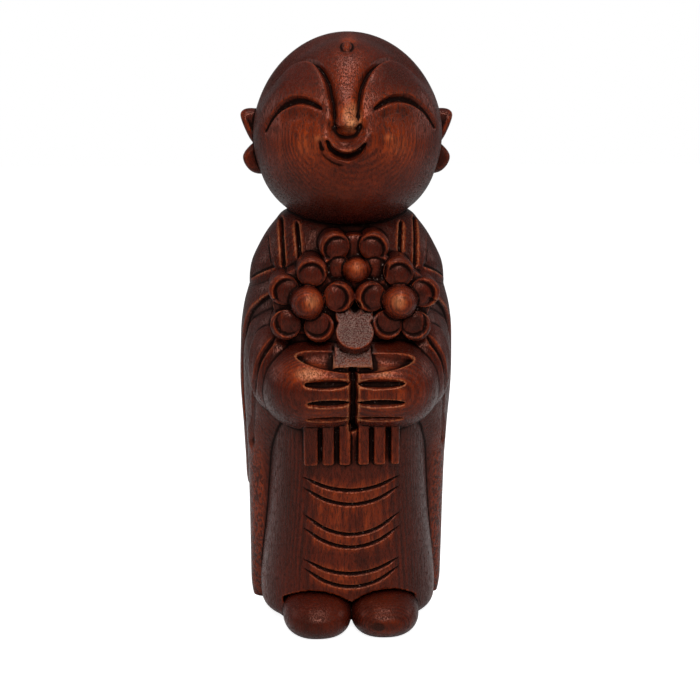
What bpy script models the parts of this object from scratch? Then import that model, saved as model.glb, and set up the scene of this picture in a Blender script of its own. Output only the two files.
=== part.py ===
"""A smiling monk holding three flowers, carved from one block of wood.

The figure faces -Y and stands on z = 0. Its forms and its carving are shares of its height: they are
written in U, one three-hundredth of the height, which is one millimetre on the figure at its real size.
Rough blocks are fused into one body, the lines and the face are cut into it, and the base is sawn flat.
"""
import math

import bmesh
import bpy
import numpy as np
from mathutils import Matrix

# The height of the figure, from the base to the crown of the head, and its carving unit
HEIGHT = 0.300
U = HEIGHT / 300.0

# How finely the blocks are drawn and fused, how often they are smoothed, and how many facets are kept
GRAIN = 0.8 * U
FACETS = 9400
BLEND_PASSES = 3
POLISH_PASSES = 1
HEAD_SIDES = 320
BALL_SIDES = 48
PEG_SIDES = 40
RING_SIDES = 128
RING_STEP = 2.0
ROBE_SIDES = 288
ROBE_STEP = 1.0

# The name of the one solid, and the colour and roughness of its stained, waxed wood
SOLID_NAME = "monk_figure"
WOOD_COLOUR = (0.105, 0.030, 0.014, 1.0)
WOOD_ROUGHNESS = 0.38

# The head, a ball with full cheeks, turned a little from the body's front
HEAD_RADIUS = 47.6
HEAD_DEPTH = 46.5
HEAD_CENTRE = (0.0, -2.0, 252.4)
HEAD_TURN = math.radians(3.4)
CHEEK_FULLNESS = 0.045
JOWL_FULLNESS = 0.13
VIEW_DISTANCE = 598.0

# The ears, two leaves one above the other: outlines of the front view, right ear, and their thickness
EAR_UPPER = ((40.0, 262.4), (46.0, 263.2), (50.4, 263.0), (52.8, 261.2), (52.8, 258.4), (50.8, 253.0),
             (47.8, 247.2), (44.6, 245.0), (38.0, 246.0))
EAR_LOWER = ((38.0, 247.0), (46.0, 246.4), (49.4, 244.0), (52.0, 240.4), (51.8, 237.0), (49.6, 233.4),
             (46.4, 231.2), (42.0, 230.8), (38.0, 233.0))
EAR_DEPTH = 7.0
EAR_THICKNESS = 13.0

# The hands, two closed mittens side by side
HAND_CENTRE = (18.5, -24.0, 129.6)
HAND_RADII = (26.2, 28.0, 23.4)
HAND_INNER_REACH = 30.0

# The flowers, as the carver spaced them by eye: heart, its radius, and each petal's place beside it
PETAL_RADIUS = 7.3
PETAL_DOME = 3.4
FLOWER_BACK = -18.0
BACKING_SINK = 6.5
FLOWERS = (
    ((-21.6, -42.0, 172.8), 7.9, ((2.4, 14.7), (-11.2, 6.0), (-10.4, -11.2), (5.7, -12.4), (15.3, 2.4))),
    ((22.8, -42.0, 172.8), 8.1, ((-0.5, 14.3), (12.4, 4.0), (8.2, -12.4), (-6.0, -11.6), (-14.0, 2.4))),
    ((2.3, -36.0, 187.4), 6.0, ((-10.6, 11.4), (8.7, 11.4), (-10.3, 0.9), (10.6, 0.6))),
)
BOUQUET_CENTRE = (0.5, -20.0, 177.0)
BOUQUET_RADII = (32.0, 14.0, 20.0)

# The sleeve that wraps the outer side of each hand
SLEEVE_CENTRE = (36.5, -20.0, 137.0)
SLEEVE_RADII = (14.5, 16.5, 24.0)

# The tongue below the flowers: a flat round-ended strip that leans back
TONGUE_PLACE = (1.0, -42.6, 157.2)
TONGUE_RADIUS = 9.0
TONGUE_LENGTH = 10.0
TONGUE_THICKNESS = 6.0
TONGUE_TILT = math.radians(52)

# The feet, and the bars of the flower stems below the hands
FOOT_CENTRE = (17.4, -28.0, 9.0)
FOOT_RADII = (17.6, 22.0, 12.0)
STEM_BARS = ((-23.8, -16.9), (-14.6, -8.9), (-6.3, -0.8), (3.0, 8.4), (10.7, 16.5), (19.2, 23.4))

# Oval sections from the base up: height, half width, front, widest line, back
ROBE = (
    (-3.0, 38.0, -28.0, 0.0, 24.0),
    (2.5, 39.5, -29.5, 0.0, 24.0),
    (4.5, 43.5, -34.0, 0.0, 24.0),
    (8.0, 46.0, -37.0, 0.0, 24.0),
    (16.0, 46.4, -38.2, 0.0, 24.0),
    (32.0, 45.0, -38.3, 0.0, 24.0),
    (55.0, 42.4, -38.0, 0.0, 24.0),
    (86.0, 40.6, -37.5, 0.0, 24.0),
    (120.0, 40.0, -37.0, 0.0, 24.0),
    (150.0, 38.0, -34.0, 0.0, 24.0),
)
CLOAK = (
    (-3.0, 50.5, 10.0, 20.0, 41.0),
    (3.0, 51.6, 8.0, 19.0, 43.0),
    (10.0, 52.2, 5.0, 18.0, 44.0),
    (30.0, 52.2, -2.0, 17.0, 45.0),
    (60.0, 52.3, -8.0, 16.0, 45.0),
    (90.0, 52.8, -14.0, 15.0, 44.0),
    (102.0, 53.2, -21.0, 14.0, 43.0),
    (118.0, 53.8, -30.0, 14.0, 43.0),
    (135.0, 53.9, -33.0, 13.0, 42.0),
    (150.6, 52.6, -32.5, 12.0, 41.0),
    (161.6, 49.6, -30.5, 11.0, 40.0),
    (168.0, 44.0, -28.5, 10.0, 38.0),
    (172.5, 38.0, -26.0, 10.0, 34.0),
)
CAPE = (
    (60.0, 51.0, 12.0, 22.0, 44.5),
    (64.0, 53.2, 8.0, 21.0, 47.0),
    (80.0, 54.1, 4.0, 20.0, 48.0),
    (97.0, 54.8, 1.0, 18.0, 47.5),
    (123.0, 56.0, -10.0, 16.0, 46.5),
    (140.0, 55.5, -20.0, 14.0, 46.0),
    (158.0, 54.2, -27.0, 12.0, 44.0),
    (170.0, 51.6, -28.5, 11.0, 42.0),
    (177.0, 48.8, -28.0, 10.0, 40.0),
    (180.6, 45.6, -27.0, 10.0, 38.0),
    (184.0, 39.0, -24.0, 9.0, 34.0),
)
SHOULDERS = (
    (150.0, 44.0, -22.0, 8.0, 38.0),
    (165.0, 48.5, -22.5, 8.0, 40.0),
    (178.5, 50.0, -23.0, 8.0, 40.0),
    (187.0, 48.6, -23.0, 7.0, 39.0),
    (195.0, 44.9, -22.0, 7.0, 37.0),
    (203.2, 40.0, -19.0, 6.0, 33.0),
    (208.0, 36.2, -16.0, 5.0, 30.0),
    (212.0, 32.6, -12.0, 5.0, 27.0),
    (215.0, 27.0, -7.0, 5.0, 22.0),
)

# The hem's two arches over the feet: middle, height, drop at the half width of 17, and how far it is set back
HEM_ARCHES = ((-17.5, 22.4, 6.0), (16.5, 22.8, 6.5))
HEM_REACH = (-34.5, 33.5)
HEM_STEP = 11.0

# Gouge lines of the front view: the robe's arcs with their rise at both ends, and the cuts of the fingers
ROBE_ARCS = ((77.0, 6.2), (69.7, 8.2), (53.9, 10.2), (47.2, 9.6), (33.0, 7.2), (26.0, 9.6))
FINGER_CUTS = ((134.8, 4.8, 23.6, 24.7), (125.0, 4.2, 22.3, 24.8), (116.2, 3.0, 22.3, 24.2))
CLASP_HALF = 9.4
PARTING = ((0.0, 141.0), (0.2, 135.0), (0.2, 117.0), (0.4, 109.5))

# Gouge lines of one side, mirrored for the other: sleeve rim, cape edges, and the bands of the collar
SLEEVE_RIM = ((36.0, 155.5), (43.0, 147.0), (47.0, 138.4), (49.2, 123.0), (50.2, 102.0), (50.4, 88.0))
CAPE_TOP = ((36.0, 186.5), (40.0, 185.2), (46.0, 181.8), (49.8, 178.0), (52.4, 172.0))
CAPE_FALL = ((54.2, 98.0), (54.8, 118.0), (54.8, 138.0), (53.6, 151.0), (50.4, 162.4), (44.8, 169.4),
             (38.6, 174.0), (34.0, 175.5))
OUTER_BAND = ((33.8, 211.0), (33.4, 201.0), (32.6, 186.0))
INNER_BAND = ((26.2, 209.0), (25.0, 196.0), (24.6, 186.0))
SHOULDER_BAND = ((38.6, 184.0), (40.2, 201.0), (41.2, 207.0))

# Folds of the cloak behind: the swags' lowest points and rise, and the pleats' tops and feet beside the middle
SWAGS = ((140.0, 26.0), (160.0, 20.0), (177.0, 15.0))
PLEATS = ((34.0, 43.0), (25.0, 27.0), (12.0, 11.0))

# The face, in the view of someone who looks straight at it: right and up from the ball's centre,
# in hundredths of the head's radius
BROW_LEFT = ((-91, 21), (-85, 36), (-75, 52), (-63, 66), (-52, 73), (-42, 74.5), (-33, 70), (-24, 55),
             (-20.5, 42), (-17, 29), (-14, 8), (-10, 1))
BROW_RIGHT = ((87, 33), (79, 48), (69, 61), (57, 71), (46, 75), (36, 73), (27, 66), (21.5, 57),
              (17, 45), (14.5, 29), (13, 14), (9, 1))
LID_LEFT = ((-26, 24.5), (-35, 29.5), (-44, 32.5), (-52, 33), (-60, 30.5), (-68, 25), (-75, 17), (-81, 8.5),
            (-85, 0))
LID_RIGHT = ((27.5, 24), (36, 30), (45, 34), (55, 35), (64, 33), (73, 27), (81, 19), (87, 10), (90, 3.5))
RIDGE_LEFT = ((-56, 59), (-71, 41), (-84, 21), (-91, -1), (-93, -16))
RIDGE_RIGHT = ((57, 59), (72, 44), (84, 28), (92, 9), (94, -8))
POUCH_LEFT = ((-68, 13), (-54, 17.5), (-42, 18), (-31, 15))
POUCH_RIGHT = ((33, 15.5), (42, 19), (54, 20.5), (64, 18))
LIP_RIDGE = ((-32, 3.5), (-24, -4), (-15, -13), (-2, -17.5), (12, -13), (21, -4), (30, 3.5))
MOUTH = ((-21.5, -6.5), (-15, -17.5), (-2, -23.5), (11, -19.5), (19, -9.5))
UNDER_NOSE = ((-15.5, 16), (-14.5, 5), (-9, -2), (-0.5, -4), (8, -2), (13, 5), (14.5, 16))
CHIN_FOLD = ((-28, -2), (-27.5, -12), (-24, -21), (-16, -28.5), (-6, -32), (4, -32))
NOSE_WIDTHS = ((0, 13), (8, 14), (21, 15.5), (36, 18.5), (50, 22.5), (62, 28), (70, 38))
NOSE_TIP = 5.5
NOSE_ROOT = 62.0
NOSE_RISE = 4.8
URNA = (-0.6, 90.5)
URNA_RADII = (5.1, 3.8)


def through(stations, height):
    """Each measure of a row of stations at one height, on smooth curves through the stations."""
    rows = np.array(stations, float)
    heights = rows[:, 0]
    slopes = np.gradient(rows[:, 1:], heights, axis=0)
    i = int(np.clip(np.searchsorted(heights, height) - 1, 0, len(rows) - 2))
    gap = heights[i + 1] - heights[i]
    t = (height - heights[i]) / gap
    start, end = rows[i, 1:], rows[i + 1, 1:]
    chord = (end - start) / gap
    rise_in = np.clip(slopes[i], -3 * abs(chord), 3 * abs(chord))
    rise_out = np.clip(slopes[i + 1], -3 * abs(chord), 3 * abs(chord))
    return ((2 * t ** 3 - 3 * t ** 2 + 1) * start + (t ** 3 - 2 * t ** 2 + t) * gap * rise_in
            + (3 * t ** 2 - 2 * t ** 3) * end + (t ** 3 - t ** 2) * gap * rise_out)


def rolled_grid(whole, sides, rings, shape):
    """Adds a closed surface: a grid rolled up round the upright axis, its seam and both ends welded shut.

    The shape function gives the places of points from their turn round the axis and their share of the way up.
    """
    block = bmesh.new()
    bmesh.ops.create_grid(block, x_segments=sides, y_segments=rings, size=0.5)
    seam = [vert for vert in block.verts if vert.is_boundary]
    mesh = bpy.data.meshes.new("block")
    block.to_mesh(mesh)
    places, _ = read_points(mesh)
    turn = (places[:, 0] + 0.5) * 2 * math.pi
    rise = np.clip(places[:, 1] + 0.5, 0.0, 1.0)
    for vert, place in zip(block.verts, shape(turn, rise)):
        vert.co = place
    bmesh.ops.remove_doubles(block, verts=seam, dist=0.001 * U)
    block.to_mesh(mesh)
    block.free()
    whole.from_mesh(mesh)
    bpy.data.meshes.remove(mesh)


def oval_block(whole, stations, front_power, back_power, trim=None, step=RING_STEP, sides=RING_SIDES):
    """Adds a closed block through oval sections, squarer in front or behind as its powers grow."""
    low, high = stations[0][0], stations[-1][0]
    rings = round((high - low) / step)
    levels = np.linspace(low, high, rings - 1)
    measures = np.array([through(stations, level) for level in levels])

    def shape(turn, rise):
        row = np.rint(rise * rings).astype(int)
        ring = np.clip(row - 1, 0, rings - 2)
        inside = (row > 0) & (row < rings)
        half, front, middle, back = measures[ring].T
        cosine, sine = np.cos(turn), np.sin(turn)
        power = np.where(sine < 0, front_power, back_power)
        reach = np.where(sine < 0, middle - front, back - middle)
        across = inside * np.sign(cosine) * abs(cosine) ** (2.0 / power) * half
        deep = middle + inside * np.sign(sine) * abs(sine) ** (2.0 / power) * reach
        level = levels[ring]
        if trim:
            deep = trim(across, deep, level)
        return np.stack((across, deep, level), axis=1) * U

    rolled_grid(whole, sides, rings, shape)


def globe(turn, rise):
    """Directions from the centre of a ball."""
    ring = np.sin(rise * math.pi)
    return np.stack((ring * np.cos(turn), ring * np.sin(turn), -np.cos(rise * math.pi)), axis=1)


def ball(whole, centre, radii, fine=BALL_SIDES):
    """Adds a ball stretched to three radii."""
    rolled_grid(whole, fine, fine * 5 // 8, lambda turn, rise: (globe(turn, rise) * radii + centre) * U)


def stub(whole, centre, radius, dome, back):
    """Adds a round-ended peg that runs back from its domed front to the depth given."""
    def shape(turn, rise):
        places = globe(turn, rise) * (radius, dome, radius) + centre
        places[:, 1] = np.where(places[:, 1] > centre[1], back, places[:, 1])
        return places * U

    rolled_grid(whole, PEG_SIDES, PEG_SIDES * 5 // 8, shape)


def bar(bm, low, high, soften, slope=0.0):
    """A squared bar between two corners, with softened edges, whose front can slope back to its top."""
    made = bmesh.ops.create_cube(bm, size=1.0)["verts"]
    for vert in made:
        vert.co = [(low[i] if vert.co[i] < 0 else high[i]) * U for i in range(3)]
        if vert.co.y < (low[1] + 1) * U and vert.co.z > (high[2] - 1) * U:
            vert.co.y += slope * U
    edges = list({edge for vert in made for edge in vert.link_edges})
    bmesh.ops.bevel(bm, geom=edges, offset=soften * U, affect="EDGES", segments=3, profile=0.5, material=-1)


def leaf(bm, outline, side, depth, thickness, soften):
    """A plump leaf, rounded in the side view too, from its outline in the front view."""
    line = smooth_line(outline, 30)
    low, high = line[:, 1].min() - 0.5, line[:, 1].max() + 0.5
    verts = [bm.verts.new((side * x * U, -thickness / 2 * U, z * U)) for x, z in line]
    face = bm.faces.new(verts)
    pushed = bmesh.ops.extrude_face_region(bm, geom=[face])["geom"]
    far = [item for item in pushed if isinstance(item, bmesh.types.BMVert)]
    bmesh.ops.translate(bm, vec=(0, thickness * U, 0), verts=far)
    rim = {edge for vert in verts + far for edge in vert.link_edges
           if abs(edge.verts[0].co.y - edge.verts[1].co.y) < 0.1 * U}
    bevelled = bmesh.ops.bevel(bm, geom=list(rim), offset=soften * U, affect="EDGES", segments=4, profile=0.5,
                               material=-1)
    for vert in {vert for item in bevelled["faces"] for vert in item.verts}:
        share = (2 * vert.co.z / U - low - high) / (high - low)
        vert.co.y = depth * U + vert.co.y * max(1 - abs(share) ** 2.6, 0.02) ** (1 / 2.2)


def mitten(whole, centre, radii, side, inner, outer):
    """Adds a ball squared off by a reach and a power on its inner and on its outer side."""
    def shape(turn, rise):
        way = globe(turn, rise)
        share = np.clip(abs(way[:, 0]), 0, 1 - 1e-6)
        inside = way[:, 0] * side < 0
        reach = np.where(inside, inner[0], outer[0])
        power = np.where(inside, inner[1], outer[1])
        wider = (1 - share ** power) ** (1 / power) / np.sqrt(1 - share ** 2)
        across = side * centre[0] + np.sign(way[:, 0]) * share * reach
        return np.stack((across, centre[1] + way[:, 1] * radii[1] * wider,
                         centre[2] + way[:, 2] * radii[2] * wider), axis=1) * U

    rolled_grid(whole, BALL_SIDES * 3 // 2, BALL_SIDES, shape)


def smooth_line(points, count=40):
    """A smooth line through a few points of the front view."""
    rows = np.array(points, float)
    if len(rows) < 3:
        return np.array([rows[0] + (rows[-1] - rows[0]) * t for t in np.linspace(0, 1, 5)])
    padded = np.vstack([2 * rows[0] - rows[1], rows, 2 * rows[-1] - rows[-2]])
    line = []
    for share in np.linspace(0, len(rows) - 1, count):
        i = min(int(share), len(rows) - 2)
        t = share - i
        a, b, c, d = padded[i:i + 4]
        line.append(0.5 * (2 * b + (c - a) * t + (2 * a - 5 * b + 4 * c - d) * t ** 2
                           + (3 * b - a - 3 * c + d) * t ** 3))
    return np.array(line)


def measure(across, up, line, reach=1e9):
    """Distance from each point to a line, the share of the way along it, and its side (+ is left)."""
    best = np.full(across.shape, 1e9)
    along = np.zeros(across.shape)
    side = np.zeros(across.shape)
    low, high = line.min(axis=0) - reach, line.max(axis=0) + reach
    near = np.flatnonzero((across > low[0]) & (across < high[0]) & (up > low[1]) & (up < high[1]))
    x, z = across[near], up[near]
    steps = np.diff(line, axis=0)
    lengths = np.hypot(steps[:, 0], steps[:, 1])
    whole = lengths.sum()
    gap_here, along_here, side_here = best[near], along[near], side[near]
    start = 0.0
    for (line_x, line_z), (dx, dz), length in zip(line[:-1], steps, lengths):
        t = np.clip(((x - line_x) * dx + (z - line_z) * dz) / length ** 2, 0, 1)
        gap_x = x - line_x - t * dx
        gap_z = z - line_z - t * dz
        gap = np.hypot(gap_x, gap_z)
        closer = gap < gap_here
        gap_here = np.where(closer, gap, gap_here)
        along_here = np.where(closer, (start + t * length) / whole, along_here)
        side_here = np.where(closer, np.sign(dx * gap_z - dz * gap_x), side_here)
        start += length
    best[near], along[near], side[near] = gap_here, along_here, side_here
    return best, along, side


def ease(value):
    """A smooth step from 0 to 1."""
    t = np.clip(value, 0, 1)
    return t * t * (3 - 2 * t)


def cut(across, up, points, width, depth, taper=0.15):
    """Depth of a V-shaped gouge line that thins out at both ends."""
    gap, along, _ = measure(across, up, smooth_line(points), width)
    ends = ease(np.minimum(along, 1 - along) / taper + 0.12) if taper else 1.0
    return depth * ends * np.clip(1 - (gap / (width * 0.5 * (0.35 + 0.65 * ends))) ** 2, 0, 1)


def leaf_cut(across, up, start, end, height, depth, sag=0.0):
    """Depth of a leaf-shaped gouge cut between two points, pointed at both ends."""
    middle = ((start[0] + end[0]) / 2, (start[1] + end[1]) / 2 - sag)
    gap, along, _ = measure(across, up, smooth_line((start, middle, end)), height)
    swell = np.sqrt(np.clip(4 * along * (1 - along), 0, 1))
    return depth * np.clip(1 - (gap / (height * 0.5 * swell + 1e-3)) ** 2, 0, 1) ** 0.7


def layer_edge(across, up, points, drop, run, tuck=1.0):
    """A step down to the left side of a line, which climbs back over its run."""
    gap, along, side = measure(across, up, smooth_line(points), run * 3)
    ends = ease(np.minimum(along, 1 - along) / 0.12)
    signed = gap * side
    return drop * ends * ease(signed / tuck + 0.5) * np.exp(-np.clip(signed, 0, None) / run)


def face_height(right, up):
    """How far the carving of the face stands above the ball of the head, in U."""
    height = np.zeros(right.shape)
    for line, inner in ((BROW_LEFT, -1), (BROW_RIGHT, 1)):
        gap, along, side = measure(right, up, smooth_line(line, 60))
        into = gap * side * inner * -1
        strength = ease(along / 0.3) * ease((1 - along) / 0.12)
        deep = 3.1 + 1.3 * ease((along - 0.3) / 0.2)
        fade = 28 - 14 * ease((along - 0.55) / 0.3)
        step = ease(into / 3.2 + 0.5)
        height -= deep * strength * step * np.exp(-np.clip(into, 0, None) / fade)
        height -= 2.0 * strength * np.exp(-((into - 2.6) / 3.2) ** 2)
    rows = np.array(NOSE_WIDTHS, float)
    half = np.interp(up, rows[:, 0], rows[:, 1])
    off = abs(right + 0.5)
    ridge = np.clip(1 - (off / half) ** 6, 0, 1)
    under = NOSE_TIP + 4.5 * (off / 13.0) ** 3
    climb = ease((NOSE_ROOT - up) / (NOSE_ROOT - NOSE_TIP)) * ease((up - under) / 5 + 0.5)
    height += NOSE_RISE * climb * ridge
    gap, along, _ = measure(right, up, smooth_line(UNDER_NOSE, 50))
    height -= 2.6 * ease(np.minimum(along, 1 - along) / 0.2) * np.exp(-(gap / 4.2) ** 2)
    for lid, ridge_line, pouch in ((LID_LEFT, RIDGE_LEFT, POUCH_LEFT), (LID_RIGHT, RIDGE_RIGHT, POUCH_RIGHT)):
        gap, along, side = measure(right, up, smooth_line(lid, 50))
        swell = np.sqrt(np.clip(4 * along * (1 - along), 0, 1)) * (1 - 0.55 * ease((along - 0.4) / 0.35))
        height -= 3.0 * np.clip(1 - (gap / (4.4 * swell + 0.6)) ** 2, 0, 1) ** 0.8 * (0.35 + 0.65 * swell)
        height += 0.9 * np.exp(-(gap / 16) ** 2) * ease(along / 0.2) * ease((1 - along) / 0.3)
        ridge_gap, ridge_along, _ = measure(right, up, smooth_line(ridge_line))
        ends = ease(np.minimum(ridge_along, 1 - ridge_along) / 0.25)
        height += 1.1 * ends * np.exp(-(ridge_gap / 5.0) ** 2)
        height -= cut(right, up, pouch, 12.0, 0.8)
    for side in (-1, 1):
        height += 1.5 * np.exp(-((right - side * 45) / 32) ** 2 - ((up + 12) / 26) ** 2)
    gap, along, _ = measure(right, up, smooth_line(LIP_RIDGE))
    height += 2.0 * ease(np.minimum(along, 1 - along) / 0.3) * np.exp(-(gap / 3.6) ** 2)
    gap, along, _ = measure(right, up, smooth_line(MOUTH))
    swell = np.sqrt(np.clip(4 * along * (1 - along), 0, 1))
    height -= 3.0 * np.clip(1 - (gap / (4.6 * swell + 0.5)) ** 2, 0, 1) ** 0.7
    height += 0.6 * np.exp(-((gap - 7.5) / 3.0) ** 2) * (up < -18) * swell
    height -= cut(right, up, CHIN_FOLD, 8.0, 0.9, 0.3)
    dot = ((right - URNA[0]) / URNA_RADII[0]) ** 2 + ((up - URNA[1]) / URNA_RADII[1]) ** 2
    height += 1.9 * np.sqrt(np.clip(1 - dot, 0, 1)) - 0.25 * np.exp(-(np.sqrt(dot) - 1.4) ** 2 / 0.1)
    return height


def carved_head(turn, rise):
    """The ball of the head with full cheeks and its face."""
    way = globe(turn, rise)
    level = way[:, 2]
    full = 0.98 - CHEEK_FULLNESS * level + JOWL_FULLNESS * np.clip(-0.4 - level, 0, None)
    shape = way * np.array([HEAD_RADIUS, HEAD_DEPTH, HEAD_RADIUS])
    shape[:, 0] *= full
    shape[:, 1] *= 0.5 + 0.5 * full
    turn_cos, turn_sin = math.cos(HEAD_TURN), math.sin(HEAD_TURN)
    right = shape[:, 0] * turn_cos - shape[:, 1] * turn_sin
    toward = -shape[:, 0] * turn_sin - shape[:, 1] * turn_cos
    near = 1 - toward / VIEW_DISTANCE
    seen_right = right / near / HEAD_RADIUS * 100
    seen_up = shape[:, 2] / near / HEAD_RADIUS * 100
    facing = np.flatnonzero(toward > 0)
    relief = np.zeros(len(turn))
    relief[facing] = face_height(seen_right[facing], seen_up[facing]) * ease(toward[facing] / 12.0)
    return (np.array(HEAD_CENTRE) + shape + way * relief[:, None]) * U


def hem_over_feet(across, depth, up):
    """Sets the front of the robe back below the two arches of its hem, over the feet."""
    arch = np.max([top - drop * ((across - middle) / 17.0) ** 2 for middle, top, drop in HEM_ARCHES], axis=0)
    arch = np.where((across > HEM_REACH[0]) & (across < HEM_REACH[1]), arch, 0.0)
    return depth + np.where(depth < -15, HEM_STEP * ease((arch - up) / 1.5 + 0.5), 0.0)


def petal_front(heart, across):
    """How far forward a petal stands: it leans back away from the middle of the figure."""
    return heart[1] + 2.2 + 0.12 * max(0.0, abs(heart[0] + across) - 24.0)


def build_blocks():
    """The rough blocks, each closed, all overlapping their neighbours."""
    bm = bmesh.new()
    for side in (-1, 1):
        mitten(bm, FOOT_CENTRE, FOOT_RADII, side, (FOOT_RADII[0], 2.5), (FOOT_RADII[0], 2.3))
        mitten(bm, HAND_CENTRE, HAND_RADII, side, (HAND_INNER_REACH, 3.0), (HAND_RADII[0], 2.3))
        leaf(bm, EAR_UPPER, side, EAR_DEPTH, EAR_THICKNESS, 2.4)
        leaf(bm, EAR_LOWER, side, EAR_DEPTH, EAR_THICKNESS - 2.0, 2.4)
        ball(bm, (side * SLEEVE_CENTRE[0], SLEEVE_CENTRE[1], SLEEVE_CENTRE[2]), SLEEVE_RADII)
    ball(bm, BOUQUET_CENTRE, BOUQUET_RADII)
    for heart, radius, petals in FLOWERS:
        stub(bm, heart, radius, radius, FLOWER_BACK)
        reach = max(math.hypot(across, up) for across, up in petals)
        stub(bm, (heart[0], heart[1] + BACKING_SINK, heart[2]), reach + 1.0, 2.0, FLOWER_BACK)
        for across, up in petals:
            stub(bm, (heart[0] + across, petal_front(heart, across), heart[2] + up), PETAL_RADIUS, PETAL_DOME,
                 FLOWER_BACK)
    stub(bm, (2.7, -35.0, 183.8), 6.2, 3.0, FLOWER_BACK)
    bar(bm, (-8.7, -48.0, 141.0), (8.9, -20.0, 151.0), 1.0, 5.0)
    tongue = [vert for height in (0.0, TONGUE_LENGTH) for vert in
              bmesh.ops.create_cone(bm, cap_ends=True, segments=48, radius1=TONGUE_RADIUS * U,
                                    radius2=TONGUE_RADIUS * U, depth=TONGUE_THICKNESS * U,
                                    matrix=Matrix.Translation((0, height * U, 0)))["verts"]]
    bmesh.ops.rotate(bm, cent=(0, 0, 0), matrix=Matrix.Rotation(TONGUE_TILT, 3, "X"), verts=tongue)
    bmesh.ops.translate(bm, vec=[place * U for place in TONGUE_PLACE], verts=tongue)
    for left, right in STEM_BARS:
        bar(bm, (left, -40.8, 91.0), (right, -20.0, 112.0), 1.0)
    oval_block(bm, ROBE, 2.3, 2.3, hem_over_feet, ROBE_STEP, ROBE_SIDES)
    oval_block(bm, CLOAK, 3.4, 2.6)
    oval_block(bm, CAPE, 2.6, 2.4)
    oval_block(bm, SHOULDERS, 2.6, 2.3)
    rolled_grid(bm, HEAD_SIDES, HEAD_SIDES * 5 // 8, carved_head)
    bmesh.ops.recalc_face_normals(bm, faces=bm.faces)
    mesh = bpy.data.meshes.new("blocks")
    bm.to_mesh(mesh)
    bm.free()
    return mesh


def settle(name, mesh, modifiers):
    """The mesh with modifiers applied: kind and settings for each."""
    holder = bpy.data.objects.new(name, mesh)
    bpy.context.scene.collection.objects.link(holder)
    for kind, settings in modifiers:
        modifier = holder.modifiers.new(kind.lower(), kind)
        for key, value in settings.items():
            setattr(modifier, key, value)
    graph = bpy.context.evaluated_depsgraph_get()
    done = bpy.data.meshes.new_from_object(holder.evaluated_get(graph))
    bpy.data.objects.remove(holder)
    return done


def read_points(mesh):
    """Places and normals of a mesh's points."""
    places = np.empty(len(mesh.vertices) * 3, np.float32)
    normals = np.empty(len(mesh.vertices) * 3, np.float32)
    mesh.vertices.foreach_get("co", places)
    mesh.vertex_normals.foreach_get("vector", normals)
    return places.reshape(-1, 3).astype(float), normals.reshape(-1, 3).astype(float)


def carve_lines(places, normals):
    """Cuts every line of the dress, hands and flowers into the fused body."""
    across, depth, up = (places / U).T
    front = ease((-normals[:, 1] - 0.05) / 0.35)
    gone = np.zeros(across.shape)

    def take(amount, where=True):
        np.maximum(gone, np.where(where, amount, 0.0), out=gone)

    low_front = (depth < -25) & (up < 92)
    for top, ends in ROBE_ARCS:
        arc = [(x, top + ends * (x / 25.0) ** 2) for x in (-25, -13, 0, 13, 25)]
        take(cut(across, up, arc, 2.2, 1.5, 0.2), low_front)
    hands = (depth < -30) & (up > 103) & (up < 153)
    for z, height, left, right in FINGER_CUTS:
        take(leaf_cut(across, up, (-left, z), (-1.5, z), height, 2.6), hands)
        take(leaf_cut(across, up, (2.0, z - 0.2), (right, z), height, 2.6), hands)
    beside_clasp = (abs(across) > CLASP_HALF) | (up < 142)
    take(leaf_cut(across, up, (-27.0, 147.0), (29.6, 145.0), 8.5, 3.4, 2.4), hands & beside_clasp)
    for side in (-1, 1):
        x = across * side
        take(cut(x, up, SLEEVE_RIM, 3.6, 2.2, 0.1), (x > 30) & (up > 85) & (depth > -36))
        take(layer_edge(x, up, CAPE_TOP, 2.0, 6.0, 0.8), (x > 30) & (depth < 12))
        take(layer_edge(x, up, CAPE_FALL, 2.2, 7.0, 0.8), (x > 34) & (depth < 12))
        chest = (depth < 2) & (depth > -28) & (up > 180)
        take(cut(x, up, OUTER_BAND, 2.6, 2.6, 0.1), chest)
        take(cut(x, up, INNER_BAND, 2.6, 2.8, 0.1), chest)
        mirrored = [(-place, level) for place, level in SHOULDER_BAND]
        take(layer_edge(-x, up, mirrored, 1.6, 7.0), chest & (x > 34))
    places = places - normals * (gone * front * U)[:, None]
    behind = ease((normals[:, 1] - 0.1) / 0.4)
    gone[:] = 0
    for low, high in SWAGS:
        swag = [(x * (28 + high * 0.3) / 30, low + high * (x / 30.0) ** 2) for x in (-30, -16, 0, 16, 30)]
        take(cut(across, up, swag, 6.0, 1.7, 0.25))
    for side in (-1, 1):
        for top, foot in PLEATS:
            fall = ((top * side, 132.0 + top * 0.7), ((top + foot) / 2 * side, 108.0), (foot * side, 72.0))
            take(cut(across, up, fall, 6.0, 1.6, 0.3), up > 70)
            skirt = ((foot * 0.9 * side, 60.0), (foot * 0.95 * side, 30.0), (foot * side, -4.0))
            take(cut(across, up, skirt, 6.5, 1.6, 0.25), up < 63)
    return places - normals * (gone * behind * U)[:, None]


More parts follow.
